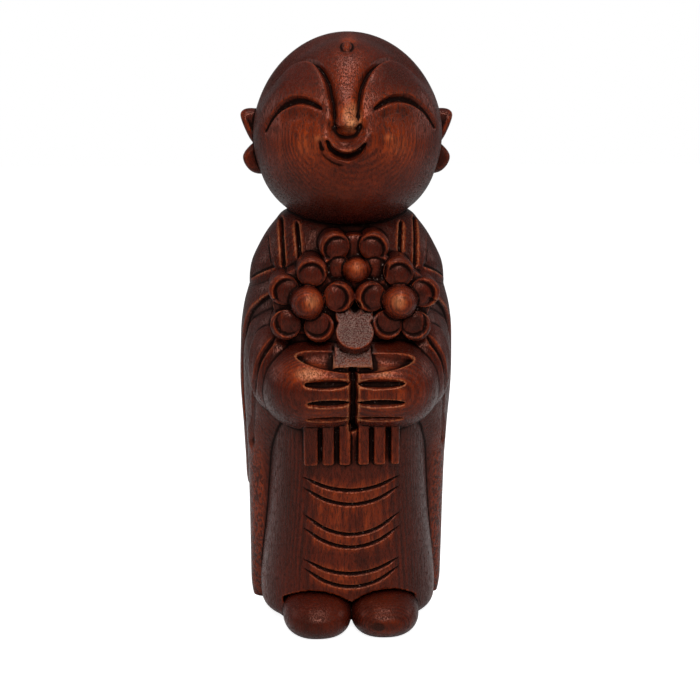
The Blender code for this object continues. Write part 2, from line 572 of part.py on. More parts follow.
def dish_petals(places, normals):
    """Scoops each petal with one gouge cut, deepest at the rim away from its flower's heart."""
    across, depth, up = (places / U).T
    gone = np.zeros(across.shape)
    for heart, _, petals in FLOWERS:
        for side, rise in petals:
            outward = np.array((side, rise)) / math.hypot(side, rise)
            off_x = across - heart[0] - side
            off_z = up - heart[2] - rise
            gap = np.hypot(off_x + outward[0] * 2.2, off_z + outward[1] * 2.2)
            far = (off_x * outward[0] + off_z * outward[1]) / PETAL_RADIUS
            dish = (1.6 + 1.2 * np.clip(far, -1, 1)) * ease((PETAL_RADIUS + 0.2 - gap) / 2.0)
            face = petal_front(heart, side) + 3.0
            gone = np.maximum(gone, np.where(depth < face, dish, 0))
    for heart, radius, _ in FLOWERS:
        gone[np.hypot(across - heart[0], up - heart[2]) < radius + 0.6] = 0
    pit = np.hypot(across - 1.6, (up - 170.0) * 0.8)
    gone = np.maximum(gone, np.where(up < 176, 6.0 * ease((3.4 - pit) / 2.5), 0))
    between = (depth < -30) & (up > 104) & (up < 142)
    gone = np.maximum(gone, np.where(between, cut(across, up, PARTING, 4.6, 4.5, 0), 0))
    front = ease((-normals[:, 1] - 0.2) / 0.4)
    places[:, 1] += gone * front * U
    return places


def sawn_flat(mesh):
    """The base sawn flat at z = 0 and closed."""
    bm = bmesh.new()
    bm.from_mesh(mesh)
    geometry = bm.verts[:] + bm.edges[:] + bm.faces[:]
    cut_made = bmesh.ops.bisect_plane(bm, geom=geometry, dist=0.0001 * U, plane_co=(0, 0, 0),
                                      plane_no=(0, 0, 1), clear_inner=True)["geom_cut"]
    for vert in [item for item in cut_made if isinstance(item, bmesh.types.BMVert)]:
        vert.co.z = 0.0
    wires = [edge for edge in bm.edges if edge.is_wire]
    bmesh.ops.delete(bm, geom=wires, context="EDGES")
    bmesh.ops.edgeloop_fill(bm, edges=[edge for edge in bm.edges if edge.is_boundary])
    bmesh.ops.recalc_face_normals(bm, faces=bm.faces)
    bmesh.ops.triangulate(bm, faces=bm.faces[:])
    if any(not edge.is_manifold for edge in bm.edges):
        raise RuntimeError("the sawn base is not closed")
    done = bpy.data.meshes.new(SOLID_NAME)
    bm.to_mesh(done)
    bm.free()
    return done


def wood():
    """Dark stained hardwood with a satin wax."""
    material = bpy.data.materials.new("dark_stained_hardwood")
    material.use_nodes = True
    shader = material.node_tree.nodes["Principled BSDF"]
    shader.inputs["Base Color"].default_value = WOOD_COLOUR
    shader.inputs["Roughness"].default_value = WOOD_ROUGHNESS
    shader.inputs["Metallic"].default_value = 0.0
    return material


def build_figure():
    """Blocks fused, carved, thinned to their facets, sawn flat and set on the middle of the base."""
    rough = settle("rough", build_blocks(), [
        ("REMESH", {"mode": "VOXEL", "voxel_size": GRAIN}),
        ("SMOOTH", {"factor": 0.5, "iterations": BLEND_PASSES}),
    ])
    places, normals = read_points(rough)
    places = carve_lines(places, normals)
    places = dish_petals(places, normals)
    rough.vertices.foreach_set("co", places.astype(np.float32).ravel())
    rough.update()
    triangles = sum(len(face.vertices) - 2 for face in rough.polygons)
    carved = settle("carved", rough, [
        ("SMOOTH", {"factor": 0.5, "iterations": POLISH_PASSES}),
        ("DECIMATE", {"ratio": FACETS / triangles}),
    ])
    figure = sawn_flat(carved)
    places, _ = read_points(figure)
    middle = (places.min(axis=0) + places.max(axis=0)) / 2
    places -= (middle[0], middle[1], 0.0)
    figure.vertices.foreach_set("co", places.astype(np.float32).ravel())
    figure.update()
    figure.shade_smooth()
    body = bpy.data.objects.new(SOLID_NAME, figure)
    body.data.materials.append(wood())
    bpy.context.scene.collection.objects.link(body)
    return body


def main():
    for item in list(bpy.data.objects):
        bpy.data.objects.remove(item)
    build_figure()


main()
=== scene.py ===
"""A smiling monk holding three flowers, carved from one block of dark stained hardwood and waxed.

The whole figure is one piece. It is fused from rough blocks, carved along lines of the front view, thinned,
and sawn flat at the base, in the place and at the size of the frame's own solid.
"""
import math

import bmesh
import bpy
import numpy as np
from mathutils import Matrix, Vector


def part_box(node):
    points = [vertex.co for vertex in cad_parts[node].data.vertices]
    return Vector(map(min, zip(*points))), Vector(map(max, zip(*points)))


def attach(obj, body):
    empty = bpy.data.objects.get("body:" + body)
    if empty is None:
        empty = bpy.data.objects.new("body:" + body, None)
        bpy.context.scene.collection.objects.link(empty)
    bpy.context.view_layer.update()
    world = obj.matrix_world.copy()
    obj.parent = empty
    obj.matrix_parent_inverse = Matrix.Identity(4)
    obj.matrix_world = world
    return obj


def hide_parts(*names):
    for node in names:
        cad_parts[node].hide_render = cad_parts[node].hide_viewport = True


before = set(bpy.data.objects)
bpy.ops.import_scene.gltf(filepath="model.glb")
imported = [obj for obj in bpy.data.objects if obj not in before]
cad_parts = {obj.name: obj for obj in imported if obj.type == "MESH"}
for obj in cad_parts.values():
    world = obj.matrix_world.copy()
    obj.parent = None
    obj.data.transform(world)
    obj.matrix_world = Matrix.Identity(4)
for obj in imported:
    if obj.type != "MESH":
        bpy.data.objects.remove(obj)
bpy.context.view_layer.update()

bl_info = {
    "name": "Carved Monk Figure",
    "version": (1, 0, 0),
    "blender": (4, 5, 0),
    "location": "View3D > Sidebar > Monk",
    "description": "Carves a wooden monk with flowers and sets the stage for it",
    "category": "Object",
}

SOLID_NAME = "monk_figure"
PIECE_NAME = "carved_monk"
SOLID_LOW, SOLID_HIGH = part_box(SOLID_NAME)

# The carving unit: one three-hundredth of the figure's height, one millimetre at its real size
U = (SOLID_HIGH[2] - SOLID_LOW[2]) / 300.0

# How finely the rough blocks are laid out: sides of the head, of other balls, of pegs and of the ovals of the
# dress, and the height between those ovals. Five rings for every eight sides keep a ball's faces square.
HEAD_SIDES = 720
BALL_SIDES = 96
PEG_SIDES = 64
ROBE_SIDES = 288
RING_STEP = 1.0

# The head, a ball with full cheeks, turned a little from the body's front
HEAD_RADIUS = 47.6
HEAD_DEPTH = 46.5
HEAD_CENTRE = (0.0, -2.0, 252.4)
HEAD_TURN = math.radians(3.4)
CHEEK_FULLNESS = 0.045
JOWL_FULLNESS = 0.13

# How far off the eye stands that sees the lines of the face as they are listed below
VIEW_DISTANCE = 598.0

# The ears, two leaves one above the other: outlines of the front view, right ear, their place in depth, how
# thick they are and how far their rims are rounded
EAR_UPPER = ((40.0, 262.4), (46.0, 263.2), (50.4, 263.0), (52.8, 261.2), (52.8, 258.4), (50.8, 253.0),
             (47.8, 247.2), (44.6, 245.0), (38.0, 246.0))
EAR_LOWER = ((38.0, 247.0), (46.0, 246.4), (49.4, 244.0), (52.0, 240.4), (51.8, 237.0), (49.6, 233.4),
             (46.4, 231.2), (42.0, 230.8), (38.0, 233.0))
EAR_DEPTH = 7.0
EAR_UPPER_THICKNESS = 13.0
EAR_LOWER_THICKNESS = 11.0
EAR_ROUNDING = 2.4

# The hands, two closed mittens side by side, squarer on their inner side than on the outer
HAND_CENTRE = (18.5, -24.0, 129.6)
HAND_RADII = (26.2, 28.0, 23.4)
HAND_INNER_REACH = 30.0
HAND_POWERS = (3.0, 2.3)

# The flowers, as the carver spaced them by eye: heart, its radius, and each petal's place beside it. A low
# peg fills the gap below the upper heart, and a pit is drilled between the lower flowers.
PETAL_RADIUS = 7.3
PETAL_DOME = 3.4
FLOWER_BACK = -18.0
BACKING_SINK = 6.5
FLOWERS = (
    ((-21.6, -42.0, 172.8), 7.9, ((2.4, 14.7), (-11.2, 6.0), (-10.4, -11.2), (5.7, -12.4), (15.3, 2.4))),
    ((22.8, -42.0, 172.8), 8.1, ((-0.5, 14.3), (12.4, 4.0), (8.2, -12.4), (-6.0, -11.6), (-14.0, 2.4))),
    ((2.3, -36.0, 187.4), 6.0, ((-10.6, 11.4), (8.7, 11.4), (-10.3, 0.9), (10.6, 0.6))),
)
FILLER_CENTRE = (2.7, -35.0, 183.8)
FILLER_RADIUS = 6.2
FILLER_DOME = 3.0
PIT_CENTRE = (1.6, 170.0)
PIT_DEPTH = 6.0
BOUQUET_CENTRE = (0.5, -20.0, 177.0)
BOUQUET_RADII = (32.0, 14.0, 20.0)

# The sleeve that wraps the outer side of each hand
SLEEVE_CENTRE = (36.5, -20.0, 137.0)
SLEEVE_RADII = (14.5, 16.5, 24.0)

# The tongue below the flowers: a flat round-ended strip that leans back
TONGUE_PLACE = (1.0, -42.6, 157.2)
TONGUE_RADIUS = 9.0
TONGUE_LENGTH = 10.0
TONGUE_THICKNESS = 6.0
TONGUE_TILT = math.radians(52)

# The squared clasp between the hands: its low and high corner, and how far its front slopes back to its top
CLASP = ((-8.7, -48.0, 141.0), (8.9, -20.0, 151.0))
CLASP_SLOPE = 5.0
BAR_SOFTENING = 1.0

# The feet, and the bars of the flower stems below the hands: left and right side, depths and heights
FOOT_CENTRE = (17.4, -28.0, 9.0)
FOOT_RADII = (17.6, 22.0, 12.0)
FOOT_POWERS = (2.5, 2.3)
STEM_BARS = ((-23.8, -16.9), (-14.6, -8.9), (-6.3, -0.8), (3.0, 8.4), (10.7, 16.5), (19.2, 23.4))
STEM_DEPTHS = (-40.8, -20.0)
STEM_HEIGHTS = (91.0, 112.0)

# Oval sections from the base up: height, half width, front, widest line, back. Their powers, in front and
# behind, say how square the ovals are.
ROBE_POWERS = (2.3, 2.3)
CLOAK_POWERS = (3.4, 2.6)
CAPE_POWERS = (2.6, 2.4)
SHOULDER_POWERS = (2.6, 2.3)
ROBE = (
    (-3.0, 38.0, -28.0, 0.0, 24.0),
    (2.5, 39.5, -29.5, 0.0, 24.0),
    (4.5, 43.5, -34.0, 0.0, 24.0),
    (8.0, 46.0, -37.0, 0.0, 24.0),
    (16.0, 46.4, -38.2, 0.0, 24.0),
    (32.0, 45.0, -38.3, 0.0, 24.0),
    (55.0, 42.4, -38.0, 0.0, 24.0),
    (86.0, 40.6, -37.5, 0.0, 24.0),
    (120.0, 40.0, -37.0, 0.0, 24.0),
    (150.0, 38.0, -34.0, 0.0, 24.0),
)
CLOAK = (
    (-3.0, 50.5, 10.0, 20.0, 41.0),
    (3.0, 51.6, 8.0, 19.0, 43.0),
    (10.0, 52.2, 5.0, 18.0, 44.0),
    (30.0, 52.2, -2.0, 17.0, 45.0),
    (60.0, 52.3, -8.0, 16.0, 45.0),
    (90.0, 52.8, -14.0, 15.0, 44.0),
    (102.0, 53.2, -21.0, 14.0, 43.0),
    (118.0, 53.8, -30.0, 14.0, 43.0),
    (135.0, 53.9, -33.0, 13.0, 42.0),
    (150.6, 52.6, -32.5, 12.0, 41.0),
    (161.6, 49.6, -30.5, 11.0, 40.0),
    (168.0, 44.0, -28.5, 10.0, 38.0),
    (172.5, 38.0, -26.0, 10.0, 34.0),
)
CAPE = (
    (60.0, 51.0, 12.0, 22.0, 44.5),
    (64.0, 53.2, 8.0, 21.0, 47.0),
    (80.0, 54.1, 4.0, 20.0, 48.0),
    (97.0, 54.8, 1.0, 18.0, 47.5),
    (123.0, 56.0, -10.0, 16.0, 46.5),
    (140.0, 55.5, -20.0, 14.0, 46.0),
    (158.0, 54.2, -27.0, 12.0, 44.0),
    (170.0, 51.6, -28.5, 11.0, 42.0),
    (177.0, 48.8, -28.0, 10.0, 40.0),
    (180.6, 45.6, -27.0, 10.0, 38.0),
    (184.0, 39.0, -24.0, 9.0, 34.0),
)
SHOULDERS = (
    (150.0, 44.0, -22.0, 8.0, 38.0),
    (165.0, 48.5, -22.5, 8.0, 40.0),
    (178.5, 50.0, -23.0, 8.0, 40.0),
    (187.0, 48.6, -23.0, 7.0, 39.0),
    (195.0, 44.9, -22.0, 7.0, 37.0),
    (203.2, 40.0, -19.0, 6.0, 33.0),
    (208.0, 36.2, -16.0, 5.0, 30.0),
    (212.0, 32.6, -12.0, 5.0, 27.0),
    (215.0, 27.0, -7.0, 5.0, 22.0),
)

# The hem's two arches over the feet: middle, height and drop at the half width, then where both start and end
# across the robe, and how far the cloth is set back below them
HEM_ARCHES = ((-17.5, 22.4, 6.0), (16.5, 22.8, 6.5))
HEM_HALF_WIDTH = 17.0
HEM_REACH = (-34.5, 33.5)
HEM_STEP = 11.0

# Gouge lines of the front view: the robe's arcs, each with its middle's height and its rise at both ends, the
# cuts of the fingers, each with its height, width and reach to the left and right, the cut above the thumbs,
# which stops at the clasp, and the parting of the hands
ROBE_ARCS = ((77.0, 6.2), (69.7, 8.2), (53.9, 10.2), (47.2, 9.6), (33.0, 7.2), (26.0, 9.6))
ROBE_ARC_PLACES = (-25.0, -13.0, 0.0, 13.0, 25.0)
FINGER_CUTS = ((134.8, 4.8, 23.6, 24.7), (125.0, 4.2, 22.3, 24.8), (116.2, 3.0, 22.3, 24.2))
THUMB_CUT = ((-27.0, 147.0), (29.6, 145.0))
CLASP_HALF = 9.4
PARTING = ((0.0, 141.0), (0.2, 135.0), (0.2, 117.0), (0.4, 109.5))

# Lines of one side, mirrored for the other: sleeve rim, cape edges, and the bands of the collar
SLEEVE_RIM = ((36.0, 155.5), (43.0, 147.0), (47.0, 138.4), (49.2, 123.0), (50.2, 102.0), (50.4, 88.0))
CAPE_TOP = ((36.0, 186.5), (40.0, 185.2), (46.0, 181.8), (49.8, 178.0), (52.4, 172.0))
CAPE_FALL = ((54.2, 98.0), (54.8, 118.0), (54.8, 138.0), (53.6, 151.0), (50.4, 162.4), (44.8, 169.4),
             (38.6, 174.0), (34.0, 175.5))
OUTER_BAND = ((33.8, 211.0), (33.4, 201.0), (32.6, 186.0))
INNER_BAND = ((26.2, 209.0), (25.0, 196.0), (24.6, 186.0))
SHOULDER_BAND = ((38.6, 184.0), (40.2, 201.0), (41.2, 207.0))

# Folds of the cloak behind: the swags' lowest points and rise, and how far the pleats' tops and feet stand
# from the middle
SWAGS = ((140.0, 26.0), (160.0, 20.0), (177.0, 15.0))
PLEATS = ((34.0, 43.0), (25.0, 27.0), (12.0, 11.0))

# The face, in the view of someone who looks straight at it: right and up from the ball's centre,
# in hundredths of the head's radius
BROW_LEFT = ((-91, 21), (-85, 36), (-75, 52), (-63, 66), (-52, 73), (-42, 74.5), (-33, 70), (-24, 55),
             (-20.5, 42), (-17, 29), (-14, 8), (-10, 1))
BROW_RIGHT = ((87, 33), (79, 48), (69, 61), (57, 71), (46, 75), (36, 73), (27, 66), (21.5, 57),
              (17, 45), (14.5, 29), (13, 14), (9, 1))
LID_LEFT = ((-26, 24.5), (-35, 29.5), (-44, 32.5), (-52, 33), (-60, 30.5), (-68, 25), (-75, 17), (-81, 8.5),
            (-85, 0))
LID_RIGHT = ((27.5, 24), (36, 30), (45, 34), (55, 35), (64, 33), (73, 27), (81, 19), (87, 10), (90, 3.5))
RIDGE_LEFT = ((-56, 59), (-71, 41), (-84, 21), (-91, -1), (-93, -16))
RIDGE_RIGHT = ((57, 59), (72, 44), (84, 28), (92, 9), (94, -8))
POUCH_LEFT = ((-68, 13), (-54, 17.5), (-42, 18), (-31, 15))
POUCH_RIGHT = ((33, 15.5), (42, 19), (54, 20.5), (64, 18))
LIP_RIDGE = ((-32, 3.5), (-24, -4), (-15, -13), (-2, -17.5), (12, -13), (21, -4), (30, 3.5))
MOUTH = ((-21.5, -6.5), (-15, -17.5), (-2, -23.5), (11, -19.5), (19, -9.5))
UNDER_NOSE = ((-15.5, 16), (-14.5, 5), (-9, -2), (-0.5, -4), (8, -2), (13, 5), (14.5, 16))
CHIN_FOLD = ((-28, -2), (-27.5, -12), (-24, -21), (-16, -28.5), (-6, -32), (4, -32))
NOSE_WIDTHS = ((0, 13), (8, 14), (21, 15.5), (36, 18.5), (50, 22.5), (62, 28), (70, 38))
NOSE_TIP = 5.5
NOSE_ROOT = 62.0
NOSE_RISE = 4.8
URNA = (-0.6, 90.5)
URNA_RADII = (5.1, 3.8)

# Where hands and cloth have rubbed the stain thin in front, with painted highlights on the cheeks, forehead,
# nose, lips, hands and hearts: across, height, half width, half height and strength, which bares the wood as
# it nears 2
RUBBED_AND_LIT = (
    (-21.4, 246.7, 17.0, 15.0, 0.95), (21.4, 246.7, 17.0, 15.0, 0.95), (-1.0, 274.0, 11.0, 18.0, 0.6),
    (-0.5, 259.5, 6.0, 9.0, 1.9), (-1.0, 244.5, 8.0, 1.8, 1.2), (0.0, 229.0, 24.0, 9.0, 0.4),
    (0.0, 295.0, 4.0, 3.0, 0.9), (-20.0, 267.0, 9.0, 6.0, 0.5), (20.0, 267.0, 9.0, 6.0, 0.5),
    (-21.0, 139.5, 11.0, 5.0, 1.5), (-14.0, 120.0, 12.0, 12.0, 0.55),
    (18.0, 130.0, 15.0, 14.0, 0.8), (14.0, 139.5, 9.0, 4.0, 1.3), (-19.5, 174.5, 6.0, 6.5, 1.35),
    (21.5, 174.0, 6.0, 6.5, 1.4), (2.3, 189.5, 6.0, 5.5, 1.15), (-16.0, 250.0, 7.0, 3.5, 1.15),
    (16.5, 250.5, 7.0, 3.5, 1.15), (-17.0, 7.0, 10.0, 6.0, 0.1), (17.0, 8.0, 10.0, 6.0, 0.5),
    (-8.0, 101.0, 18.0, 10.0, 0.35), (14.0, 101.0, 12.0, 10.0, 0.5),
    (0.0, 45.0, 24.0, 50.0, 0.2), (12.0, 24.0, 14.0, 16.0, 0.3), (-47.5, 60.0, 5.0, 50.0, 0.55),
    (47.5, 50.0, 5.0, 50.0, 0.35),
)

# End grain on the sloping faces of the tongue and the clasp, left rough and pale, the pale grit partly a
# painted sheen of the light above: across, height, half width and half height
END_GRAIN_AND_SHEEN = ((1.0, 159.0, 10.5, 9.5), (0.5, 147.0, 10.0, 5.0))

# A dark knot on the side of the nose, and a dark stain on the right foot: centre and radii
KNOT = ((-7.4, -47.0, 271.7), (1.5, 7.0, 3.6))
FOOT_STAIN = ((12.4, -47.0, 9.0), (4.0, 6.0, 2.6))

# Between these two levels the growth layers grow fainter and the pores plainer towards the forehead
EYE_LEVEL = 262.0
MOUTH_LEVEL = 248.0

# How often a point is drawn towards its neighbours to find the small hollows, and then the wide ones
HOLLOW_PASSES = (14, 70)

# The view of the photograph, in metres and degrees, with the lens for a sensor 36 mm wide
CAMERA_PLACE = (-0.03429, -0.5971, 0.270)
CAMERA_DROP = 12.17
CAMERA_TURN = 3.4
CAMERA_LENS = 61.01
SENSOR_WIDTH = 36.0

# The soft lights, all aimed at the middle of the figure: place, width, and power as a share of the key light
LIGHT_TARGET = (0.0, 0.0, 0.16)
SOFT_LIGHTS = (
    ("key", (0.0, -1.0, 0.95), 0.55, 1.0),
    ("top", (0.0, -0.25, 1.25), 0.5, 0.5),
    ("left", (-1.0, 0.15, 0.5), 0.5, 0.12),
    ("right", (1.0, 0.15, 0.5), 0.5, 0.12),
)
FLOOR_REACH = 4.0


def through(stations, height):
    """Each measure of a row of stations at one height, on smooth curves through the stations."""
    rows = np.array(stations, float)
    heights = rows[:, 0]
    slopes = np.gradient(rows[:, 1:], heights, axis=0)
    i = int(np.clip(np.searchsorted(heights, height) - 1, 0, len(rows) - 2))
    gap = heights[i + 1] - heights[i]
    t = (height - heights[i]) / gap
    start, end = rows[i, 1:], rows[i + 1, 1:]
    chord = (end - start) / gap
    rise_in = np.clip(slopes[i], -3 * abs(chord), 3 * abs(chord))
    rise_out = np.clip(slopes[i + 1], -3 * abs(chord), 3 * abs(chord))
    return ((2 * t ** 3 - 3 * t ** 2 + 1) * start + (t ** 3 - 2 * t ** 2 + t) * gap * rise_in
            + (3 * t ** 2 - 2 * t ** 3) * end + (t ** 3 - t ** 2) * gap * rise_out)


def rolled_grid(whole, sides, rings, shape):
    """Adds a closed surface: a grid rolled up round the upright axis, its seam and both ends welded shut.

    The shape function gives the points' places from their turn round the axis and their share of the way up.
    """
    block = bmesh.new()
    bmesh.ops.create_grid(block, x_segments=sides, y_segments=rings, size=0.5)
    seam = [vert for vert in block.verts if vert.is_boundary]
    mesh = bpy.data.meshes.new("block")
    block.to_mesh(mesh)
    places, _ = read_points(mesh)
    turn = (places[:, 0] + 0.5) * 2 * math.pi
    rise = np.clip(places[:, 1] + 0.5, 0.0, 1.0)
    for vert, place in zip(block.verts, shape(turn, rise)):
        vert.co = place
    bmesh.ops.remove_doubles(block, verts=seam, dist=0.001 * U)
    block.to_mesh(mesh)
    block.free()
    whole.from_mesh(mesh)
    bpy.data.meshes.remove(mesh)


def oval_block(whole, stations, powers, trim=None):
    """Adds a closed block through oval sections, squarer in front or behind as its two powers grow."""
    low, high = stations[0][0], stations[-1][0]
    rings = round((high - low) / RING_STEP)
    levels = np.linspace(low, high, rings - 1)
    measures = np.array([through(stations, level) for level in levels])

    def shape(turn, rise):
        row = np.rint(rise * rings).astype(int)
        ring = np.clip(row - 1, 0, rings - 2)
        inside = (row > 0) & (row < rings)
        half, front, middle, back = measures[ring].T
        cosine, sine = np.cos(turn), np.sin(turn)
        power = np.where(sine < 0, *powers)
        reach = np.where(sine < 0, middle - front, back - middle)
        across = inside * np.sign(cosine) * abs(cosine) ** (2.0 / power) * half
        deep = middle + inside * np.sign(sine) * abs(sine) ** (2.0 / power) * reach
        level = levels[ring]
        if trim:
            deep = trim(across, deep, level)
        return np.stack((across, deep, level), axis=1) * U

    rolled_grid(whole, ROBE_SIDES, rings, shape)


def globe(turn, rise):
    """Directions from the centre of a ball."""
    ring = np.sin(rise * math.pi)
    return np.stack((ring * np.cos(turn), ring * np.sin(turn), -np.cos(rise * math.pi)), axis=1)


def ball(whole, centre, radii):
    """Adds a ball stretched to three radii."""
    def shape(turn, rise):
        return (globe(turn, rise) * radii + centre) * U

    rolled_grid(whole, BALL_SIDES, BALL_SIDES * 5 // 8, shape)


def stub(whole, centre, radius, dome, back):
    """Adds a round-ended peg that runs back from its domed front to the depth given."""
    def shape(turn, rise):
        places = globe(turn, rise) * (radius, dome, radius) + centre
        places[:, 1] = np.where(places[:, 1] > centre[1], back, places[:, 1])
        return places * U

    rolled_grid(whole, PEG_SIDES, PEG_SIDES * 5 // 8, shape)


def bar(bm, low, high, soften, slope=0.0):
    """A squared bar between two corners, with softened edges, whose front can slope back to its top."""
    made = bmesh.ops.create_cube(bm, size=1.0)["verts"]
    for vert in made:
        vert.co = [(low[i] if vert.co[i] < 0 else high[i]) * U for i in range(3)]
        if vert.co.y < (low[1] + 1) * U and vert.co.z > (high[2] - 1) * U:
            vert.co.y += slope * U
    edges = list({edge for vert in made for edge in vert.link_edges})
    bmesh.ops.bevel(bm, geom=edges, offset=soften * U, affect="EDGES", segments=3, profile=0.5, material=-1)


def leaf(bm, outline, side, depth, thickness, soften):
    """A plump leaf, rounded in the side view too, from its outline in the front view."""
    line = smooth_line(outline, 30)
    low, high = line[:, 1].min() - 0.5, line[:, 1].max() + 0.5
    verts = [bm.verts.new((side * x * U, -thickness / 2 * U, z * U)) for x, z in line]
    face = bm.faces.new(verts)
    pushed = bmesh.ops.extrude_face_region(bm, geom=[face])["geom"]
    far = [item for item in pushed if isinstance(item, bmesh.types.BMVert)]
    bmesh.ops.translate(bm, vec=(0, thickness * U, 0), verts=far)
    rim = {edge for vert in verts + far for edge in vert.link_edges
           if abs(edge.verts[0].co.y - edge.verts[1].co.y) < 0.1 * U}
    bevelled = bmesh.ops.bevel(bm, geom=list(rim), offset=soften * U, affect="EDGES", segments=4, profile=0.5,
                               material=-1)
    for vert in {vert for item in bevelled["faces"] for vert in item.verts}:
        share = (2 * vert.co.z / U - low - high) / (high - low)
        vert.co.y = depth * U + vert.co.y * max(1 - abs(share) ** 2.6, 0.02) ** (1 / 2.2)


def mitten(whole, centre, radii, side, inner_reach, powers):
    """Adds a ball with a reach of its own on its inner side, squared off as its two powers grow."""
    def shape(turn, rise):
        way = globe(turn, rise)
        share = np.clip(abs(way[:, 0]), 0, 1 - 1e-6)
        inside = way[:, 0] * side < 0
        reach = np.where(inside, inner_reach, radii[0])
        power = np.where(inside, *powers)
        wider = (1 - share ** power) ** (1 / power) / np.sqrt(1 - share ** 2)
        across = side * centre[0] + np.sign(way[:, 0]) * share * reach
        return np.stack((across, centre[1] + way[:, 1] * radii[1] * wider,
                         centre[2] + way[:, 2] * radii[2] * wider), axis=1) * U

    rolled_grid(whole, BALL_SIDES, BALL_SIDES * 5 // 8, shape)


def smooth_line(points, count=40):
    """A smooth line through a few points of the front view."""
    rows = np.array(points, float)
    if len(rows) < 3:
        return np.array([rows[0] + (rows[-1] - rows[0]) * t for t in np.linspace(0, 1, 5)])
    padded = np.vstack([2 * rows[0] - rows[1], rows, 2 * rows[-1] - rows[-2]])
    line = []
    for share in np.linspace(0, len(rows) - 1, count):
        i = min(int(share), len(rows) - 2)
        t = share - i
        a, b, c, d = padded[i:i + 4]
        line.append(0.5 * (2 * b + (c - a) * t + (2 * a - 5 * b + 4 * c - d) * t ** 2
                           + (3 * b - a - 3 * c + d) * t ** 3))
    return np.array(line)


def measure(across, up, line, reach=1e9):
    """Distance from each point to a line, the share of the way along it, and its side (+ is left)."""
    best = np.full(across.shape, 1e9)
    along = np.zeros(across.shape)
    side = np.zeros(across.shape)
    low, high = line.min(axis=0) - reach, line.max(axis=0) + reach
    near = np.flatnonzero((across > low[0]) & (across < high[0]) & (up > low[1]) & (up < high[1]))
    x, z = across[near], up[near]
    steps = np.diff(line, axis=0)
    lengths = np.hypot(steps[:, 0], steps[:, 1])
    whole = lengths.sum()
    gap_here, along_here, side_here = best[near], along[near], side[near]
    start = 0.0
    for (line_x, line_z), (dx, dz), length in zip(line[:-1], steps, lengths):
        t = np.clip(((x - line_x) * dx + (z - line_z) * dz) / length ** 2, 0, 1)
        gap_x = x - line_x - t * dx
        gap_z = z - line_z - t * dz
        gap = np.hypot(gap_x, gap_z)
        closer = gap < gap_here
        gap_here = np.where(closer, gap, gap_here)
        along_here = np.where(closer, (start + t * length) / whole, along_here)
        side_here = np.where(closer, np.sign(dx * gap_z - dz * gap_x), side_here)
        start += length
    best[near], along[near], side[near] = gap_here, along_here, side_here
    return best, along, side


def ease(value):
    """A smooth step from 0 to 1."""
    t = np.clip(value, 0, 1)
    return t * t * (3 - 2 * t)


def cut(across, up, points, width, depth, taper=0.15):
    """Depth of a V-shaped gouge line that thins out at both ends."""
    gap, along, _ = measure(across, up, smooth_line(points), width)
    ends = ease(np.minimum(along, 1 - along) / taper + 0.12) if taper else 1.0
    return depth * ends * np.clip(1 - (gap / (width * 0.5 * (0.35 + 0.65 * ends))) ** 2, 0, 1)


def leaf_cut(across, up, start, end, height, depth, sag=0.0):
    """Depth of a leaf-shaped gouge cut between two points, pointed at both ends."""
    middle = ((start[0] + end[0]) / 2, (start[1] + end[1]) / 2 - sag)
    gap, along, _ = measure(across, up, smooth_line((start, middle, end)), height)
    swell = np.sqrt(np.clip(4 * along * (1 - along), 0, 1))
    return depth * np.clip(1 - (gap / (height * 0.5 * swell + 1e-3)) ** 2, 0, 1) ** 0.7


def layer_edge(across, up, points, drop, run, tuck=1.0):
    """A step down to the left side of a line, which climbs back over its run."""
    gap, along, side = measure(across, up, smooth_line(points), run * 3)
    ends = ease(np.minimum(along, 1 - along) / 0.12)
    signed = gap * side
    return drop * ends * ease(signed / tuck + 0.5) * np.exp(-np.clip(signed, 0, None) / run)


